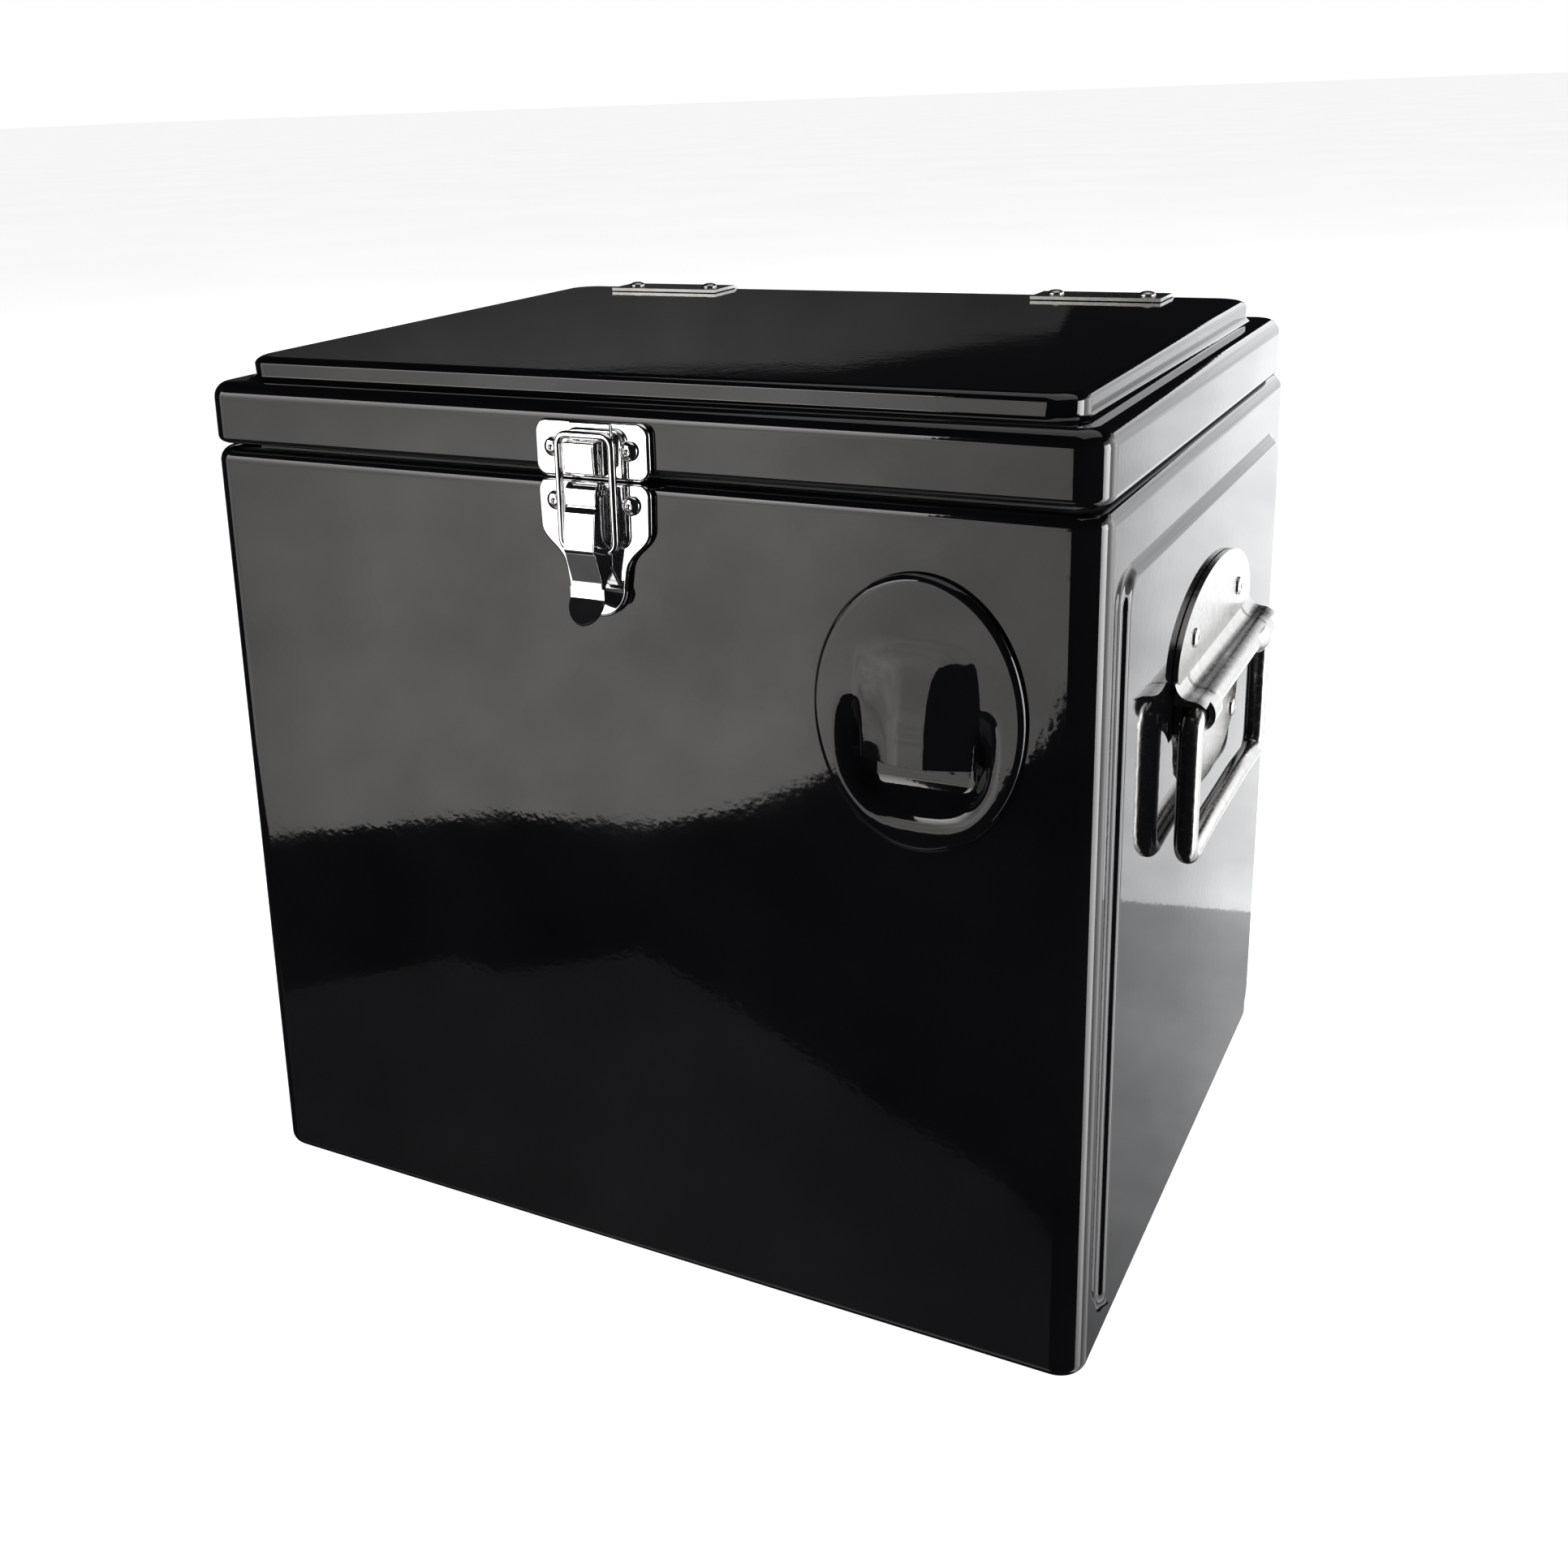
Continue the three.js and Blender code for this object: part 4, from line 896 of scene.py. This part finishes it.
# -------------------- carry handles
HANDLE_SHEET = 2 * MM
HANDLE_FACE = PANEL_FACE + GAP + HANDLE_SHEET
WAIST_HALF = 58 * MM               # half width of the plate beside the bridge
UPPER_LOBE = (64 * MM, 29 * MM)    # half width and height of the plate's rounded ends
LOWER_LOBE = (47 * MM, 24 * MM)
BRIDGE_HALF = 56.8 * MM
ROOF_HALF = 66 * MM                # the bridge's upper half runs out over the wire's two bends
ROOF_FLARE = 0.4 * MM
ARCH = 7.2 * MM                    # the bridge's outer radius about the wire
SADDLE = 2.2 * MM                  # how far the bridge is pressed in between its ends
SADDLE_HALF = 38 * MM
SADDLE_RAMP = 7 * MM
WIRE = 4.3 * MM                    # radius
WIRE_BORE = 4.9 * MM
BORE_START = 41 * MM               # from the middle line to each bore
BORE_LENGTH = 39 * MM
HALF_GRIP = 63.2 * MM
DROP = 55 * MM                     # from the pivot down to the grip
GRIP_BOW = 2 * MM                  # how far the grip rises in its middle


def handle_outline():
    """(y, z) round the plate: a wide upper lobe, a waist at the bridge and a narrower lower lobe."""
    z = HANDLE_PIVOT.z
    upper_z, lower_z = z + 15 * MM, z - 20 * MM
    half = [(WAIST_HALF, z - 9 * MM), (WAIST_HALF, z + 9 * MM)]
    half += bezier(half[-1], (60.7 * MM, z + 10.3 * MM), (62.7 * MM, z + 12.3 * MM),
                   (UPPER_LOBE[0], upper_z), 5)
    half += arc(0, upper_z, *UPPER_LOBE, 0, 90, 24)[1:]
    lower = [(WAIST_HALF, z - 9 * MM)]
    lower += bezier(lower[0], (50 * MM, z - 12 * MM), (48 * MM, z - 16 * MM), (LOWER_LOBE[0], lower_z), 8)
    lower += arc(0, lower_z, *LOWER_LOBE, 0, -90, 20)[1:]
    right = list(reversed(lower)) + half[1:]
    left = [(-y, w) for y, w in reversed(right[1:-1])]
    return right + left


def bridge_section(grow=0.0):
    """(x, z) over the bridge, from its root on the plate round the wire and back."""
    x, z = HANDLE_PIVOT.x, HANDLE_PIVOT.z
    face = HANDLE_FACE
    root = face - 0.5 * MM
    arch = ARCH + grow
    section = [(root, z - 13 * MM)]
    section += bezier(section[0], (face + 0.2 * MM, z - 11 * MM), (face + 1 * MM, z - arch - 0.2 * MM),
                      (x, z - arch), 8)
    section += arc(x, z, arch, arch, -90, 90, 20)[1:]
    section += bezier((x, z + arch), (face + 1 * MM, z + arch + 0.2 * MM), (face + 0.2 * MM, z + 11 * MM),
                      (root, z + 13 * MM), 8)
    return section


def bridge_loft():
    """The bridge: full height over the wire's two ends, pressed in between them."""
    steps = 48
    rows = []
    for i in range(steps + 1):
        y = -BRIDGE_HALF + 2 * BRIDGE_HALF * i / steps
        sunk = SADDLE * (1 - smooth(SADDLE_HALF, SADDLE_HALF + SADDLE_RAMP, abs(y)))
        rows.append([(x, y, z) for x, z in bridge_section(-sunk)])
    return loft("bridge", rows, cap_first=True, cap_last=True)


def roof_loft():
    """The bridge's upper half at full height, a little longer and flared at both ends."""
    steps = 24
    rows = []
    for k in range(-steps, steps + 1):
        y = k * ROOF_HALF / steps
        flare = ROOF_FLARE * smooth(50 * MM, ROOF_HALF, abs(y))
        rows.append([(x, y, z) for x, z in bridge_section(flare)])
    roof = loft("roof", rows, cap_first=True, cap_last=True)
    x, z = HANDLE_PIVOT.x, HANDLE_PIVOT.z
    near, far, foot, eave = x - 20 * MM, x + 30 * MM, z - 30 * MM, z + 5.3 * MM
    end = ROOF_HALF + 5 * MM
    below = prism("below", [(near, foot), (far, foot), (far, eave), (near, eave)], "y", -end, end)
    return cut_away(roof, below)


def plate_mesh():
    """The right handle's plate with its bridge, bored from both ends for the wire."""
    x, z = HANDLE_PIVOT.x, HANDLE_PIVOT.z
    plate = prism("plate", handle_outline(), "x", PANEL_FACE + GAP, HANDLE_FACE)
    parts = [bridge_loft(), roof_loft()]
    for start in (-BORE_START - BORE_LENGTH, BORE_START):
        bore = rod("bore", (x, start, z), (x, start + BORE_LENGTH, z), WIRE_BORE, 40)
        parts = [cut_away(part, bore) for part in parts]
    return joined("handle_plate", plate, *parts)


def wire_mesh():
    """The right handle's wire: in at both ends of the bridge, down, and across with a slight bow."""
    x, z = HANDLE_PIVOT.x, HANDLE_PIVOT.z
    tip, bow_half = 42 * MM, 30 * MM
    low, bowed = z - DROP, z - DROP + GRIP_BOW
    corners = [(x, -tip, z), (x, -HALF_GRIP, z), (x, -HALF_GRIP, low), (x, -bow_half, bowed),
               (x, bow_half, bowed), (x, HALF_GRIP, low), (x, HALF_GRIP, z), (x, tip, z)]
    return tube("grip", bent_path(corners, 9 * MM, 10), WIRE, 28)


def handle(side):
    mesh, wire = plate_mesh(), wire_mesh()
    if side == "left":
        turned(mesh, MIRROR_X)
        turned(wire, MIRROR_X)
    body = add_object(f"{side}_grip_plate", mesh, NICKEL, "box", [f"{side}_handle_plate"])
    even_normals(round_edges(body, 0.5 * MM, 3, 40))
    add_object(f"{side}_grip_wire", wire, NICKEL, f"{side}_handle", [f"{side}_handle_bail"])


# -------------------- CAD nodes that keep their mesh
KEPT = {"bottom_pan": ZINC, "inner_liner": WHITE, "lid_liner": WHITE, "body_foam": FOAM, "lid_foam": FOAM,
        "lid_gasket": RUBBER}


def finish_kept_nodes():
    """Gives these CAD meshes their materials, and smooth shading on their curves."""
    for name, material in KEPT.items():
        mesh = NODES[name].data
        mesh.materials.clear()
        mesh.materials.append(material)
        mesh.shade_smooth()
        mesh.set_sharp_from_angle(angle=math.radians(40))


# -------------------- studio
def overhead():
    """A soft square light above the box; its power follows from the radiance wanted."""
    side = 2.4
    radiance = 0.9
    place = Vector((0.2, 0.3, 2.6))
    data = bpy.data.lights.new("overhead", "AREA")
    data.shape = "RECTANGLE"
    data.size = side
    data.size_y = side
    data.energy = radiance * math.pi * side * side
    light = bpy.data.objects.new("overhead", data)
    bpy.context.scene.collection.objects.link(light)
    light.location = place
    light.rotation_euler = (-place).to_track_quat("-Z", "Y").to_euler()
    light.visible_camera = False


WARM = (1.0, 0.975, 0.93)
COOL = (0.965, 0.985, 1.0)
NEUTRAL = (1.0, 1.0, 1.0)
# Outlines of two cards, as (along, height) in metres on the card's own plane.
FRONT_CARD = [(-1.3, -0.62), (-0.33, -0.67), (0.05, -0.66), (0.29, -0.70), (0.46, -0.68), (0.62, -0.62),
              (0.86, -0.68), (0.94, -0.62), (1.0, -0.5), (1.0, 0.6), (0.75, 0.8), (0.7, 1.5), (-1.3, 1.5)]
LOW_FRONT_CARD = [(-1.3, -1.05), (-0.35, -0.95), (-0.05, -0.91), (0.03, -0.95), (0.26, -0.93), (0.41, -1.04),
                  (0.69, -1.28), (0.9, -1.45), (1.05, -1.65), (1.1, -5.0), (-1.3, -5.0)]
BACK_CARD = [(-0.6, 0.5), (1.2, 0.5), (1.2, 0.75), (-0.1, 0.75), (-0.5, 0.7)]
CLOUD = (0.78, 1.2)                # a card's glow varies between these shares of its strength
CLOUD_SIZE = 0.3
CARD_MIDDLE = 0.3                  # a card is brightest here, and falls off to both sides
FADE = (0.15, 0.72)                # from its middle to where the fall ends
FADED = 0.62


def rectangle(left, right, low, high):
    return [(left, low), (right, low), (right, high), (left, high)]


def glow(name, foot, head, colour):
    """A glowing material that goes from foot to head, each a (strength, height)."""
    m = Nodes(name)
    height = m.add("ShaderNodeSeparateXYZ")
    m.link(m.place, height.inputs["Vector"])
    strength = m.between(height.outputs["Z"], foot[0], head[0], foot[1], head[1])
    cloud = m.between(m.noise(CLOUD_SIZE, 4.0, 0.6), *CLOUD)
    offset = m.add("ShaderNodeMapping")
    offset.inputs["Location"].default_value = (-CARD_MIDDLE, 0, 0)
    offset.inputs["Scale"].default_value = (1, 0, 0)
    aside = m.add("ShaderNodeVectorMath", operation="LENGTH")
    m.link(m.place, offset.inputs["Vector"])
    m.link(offset.outputs["Vector"], aside.inputs[0])
    fade = m.between(aside.outputs["Value"], 1.0, FADED, *FADE)
    shaded = m.add("ShaderNodeMath", operation="MULTIPLY")
    product = m.add("ShaderNodeMath", operation="MULTIPLY")
    m.link(cloud, shaded.inputs[0])
    m.link(fade, shaded.inputs[1])
    m.link(strength, product.inputs[0])
    m.link(shaded.outputs["Value"], product.inputs[1])
    m.set(Base_Color=(0, 0, 0, 1), Roughness=1.0, Specular_IOR_Level=0.0, Emission_Color=(*colour, 1))
    return m.feed(Emission_Strength=product.outputs["Value"])


def card(name, azimuth, distance, outline, foot, head, colour=NEUTRAL):
    """A glowing card facing the box, seen only in reflections; degrees from the front towards +X."""
    mesh = mesh_from(name, [(along, 0, up) for along, up in outline], [tuple(range(len(outline)))])
    mesh.materials.append(glow(name, foot, head, colour))
    piece = bpy.data.objects.new(name, mesh)
    bpy.context.scene.collection.objects.link(piece)
    turn = math.radians(azimuth)
    piece.location = (distance * math.sin(turn), -distance * math.cos(turn), 0)
    piece.rotation_euler = (0, 0, turn)
    piece.visible_camera = False
    piece.visible_shadow = False


def all_cards():
    """What the front wall, the right wall and its edges, the left wall and the lid mirror."""
    card("front_card", -35, 2.2, FRONT_CARD, (2.3, 0.55), (8.0, 1.4), WARM)
    card("low_front_card", -35, 2.2, LOW_FRONT_CARD, (0.9, -4.2), (0.12, -2.0))
    card("right_card", 168, 3.0, rectangle(-2.4, 0.5, -1.27, 1.1), (1.95, -1.2), (2.7, 0.5), COOL)
    card("side_card", 97, 2.5, rectangle(-0.6, 0.5, -4.8, 0.9), (2.5, -2.0), (14.0, 0.2))
    card("rear_side_card", 130, 2.5, rectangle(-1.1, 1.0, -4.8, 0.9), (1.0, -2.0), (3.4, 0.2))
    card("upper_side_card", 122, 2.6, rectangle(-1.9, 1.9, 0.88, 1.8), (3.4, 0.9), (0.8, 1.7))
    card("left_card", -140, 3.0, rectangle(-1.6, 1.6, -2.4, 0.2), (0.4, -2.4), (1.6, 0.0))
    card("low_right_card", 168, 3.0, rectangle(-2.4, 0.5, -2.6, -1.27), (0.3, -2.4), (0.9, -1.27), COOL)
    card("back_card", 205, 2.5, BACK_CARD, (0.03, 0.5), (0.09, 0.75))


def floor():
    """A wide pale plane just under the box; the paint doesn't mirror it."""
    far = 60
    corners = [(x, y, 0) for x, y in rectangle(-far, far, -far, far)]
    mesh = mesh_from("floor", corners, [(0, 1, 2, 3)])
    mesh.materials.append(pale_floor())
    plane = bpy.data.objects.new("floor", mesh)
    plane.location.z = -GAP
    plane.visible_glossy = False
    bpy.context.scene.collection.objects.link(plane)


def surroundings():
    """White where the camera looks past the floor, and nearly black to everything else."""
    world = bpy.data.worlds.new("studio")
    world.use_nodes = True
    tree = world.node_tree
    shown = tree.nodes.new("ShaderNodeLightPath")
    white = tree.nodes.new("ShaderNodeBackground")
    white.inputs["Color"].default_value = (1, 1, 1, 1)
    dim = tree.nodes["Background"]
    dim.inputs["Color"].default_value = (0.008, 0.008, 0.009, 1)
    mix = tree.nodes.new("ShaderNodeMixShader")
    tree.links.new(shown.outputs["Is Camera Ray"], mix.inputs["Fac"])
    tree.links.new(dim.outputs["Background"], mix.inputs[1])
    tree.links.new(white.outputs["Background"], mix.inputs[2])
    tree.links.new(mix.outputs["Shader"], tree.nodes["World Output"].inputs["Surface"])
    bpy.context.scene.world = world


def studio():
    floor()
    all_cards()
    overhead()
    surroundings()


# -------------------- camera
CAMERA_PLACE = (321.9 * MM, -683.4 * MM, 451.3 * MM)
CAMERA_AZIMUTH = 29.29             # degrees from the front towards +X
CAMERA_ELEVATION = 16.16
CAMERA_ROLL = -2.25
LENS = 40.93
SHIFT = (0.0807, -0.1118)


def camera():
    data = bpy.data.cameras.new("camera")
    data.sensor_width = 36
    data.lens = LENS
    data.shift_x, data.shift_y = SHIFT
    data.clip_start = 0.02
    data.clip_end = 200
    view = bpy.data.objects.new("camera", data)
    bpy.context.scene.collection.objects.link(view)
    view.location = CAMERA_PLACE
    azimuth, elevation = math.radians(CAMERA_AZIMUTH), math.radians(CAMERA_ELEVATION)
    back = Vector((math.sin(azimuth) * math.cos(elevation), -math.cos(azimuth) * math.cos(elevation),
                   math.sin(elevation)))
    right = Vector((math.cos(azimuth), math.sin(azimuth), 0))
    up = back.cross(right)
    roll = Matrix.Rotation(math.radians(CAMERA_ROLL), 3, "Z")
    view.rotation_euler = (Matrix((right, up, back)).transposed() @ roll).to_euler()
    bpy.context.scene.camera = view


box_shell()
bottle_opener()
lid_shell()
strike()
latch_base()
latch_lever()
latch_bail()
for side, hinge_x in (("left", -HINGE_X), ("right", HINGE_X)):
    hinge(side, hinge_x)
    handle(side)
all_rivets()
finish_kept_nodes()
studio()
camera()
bpy.context.scene.view_settings.view_transform = "Standard"
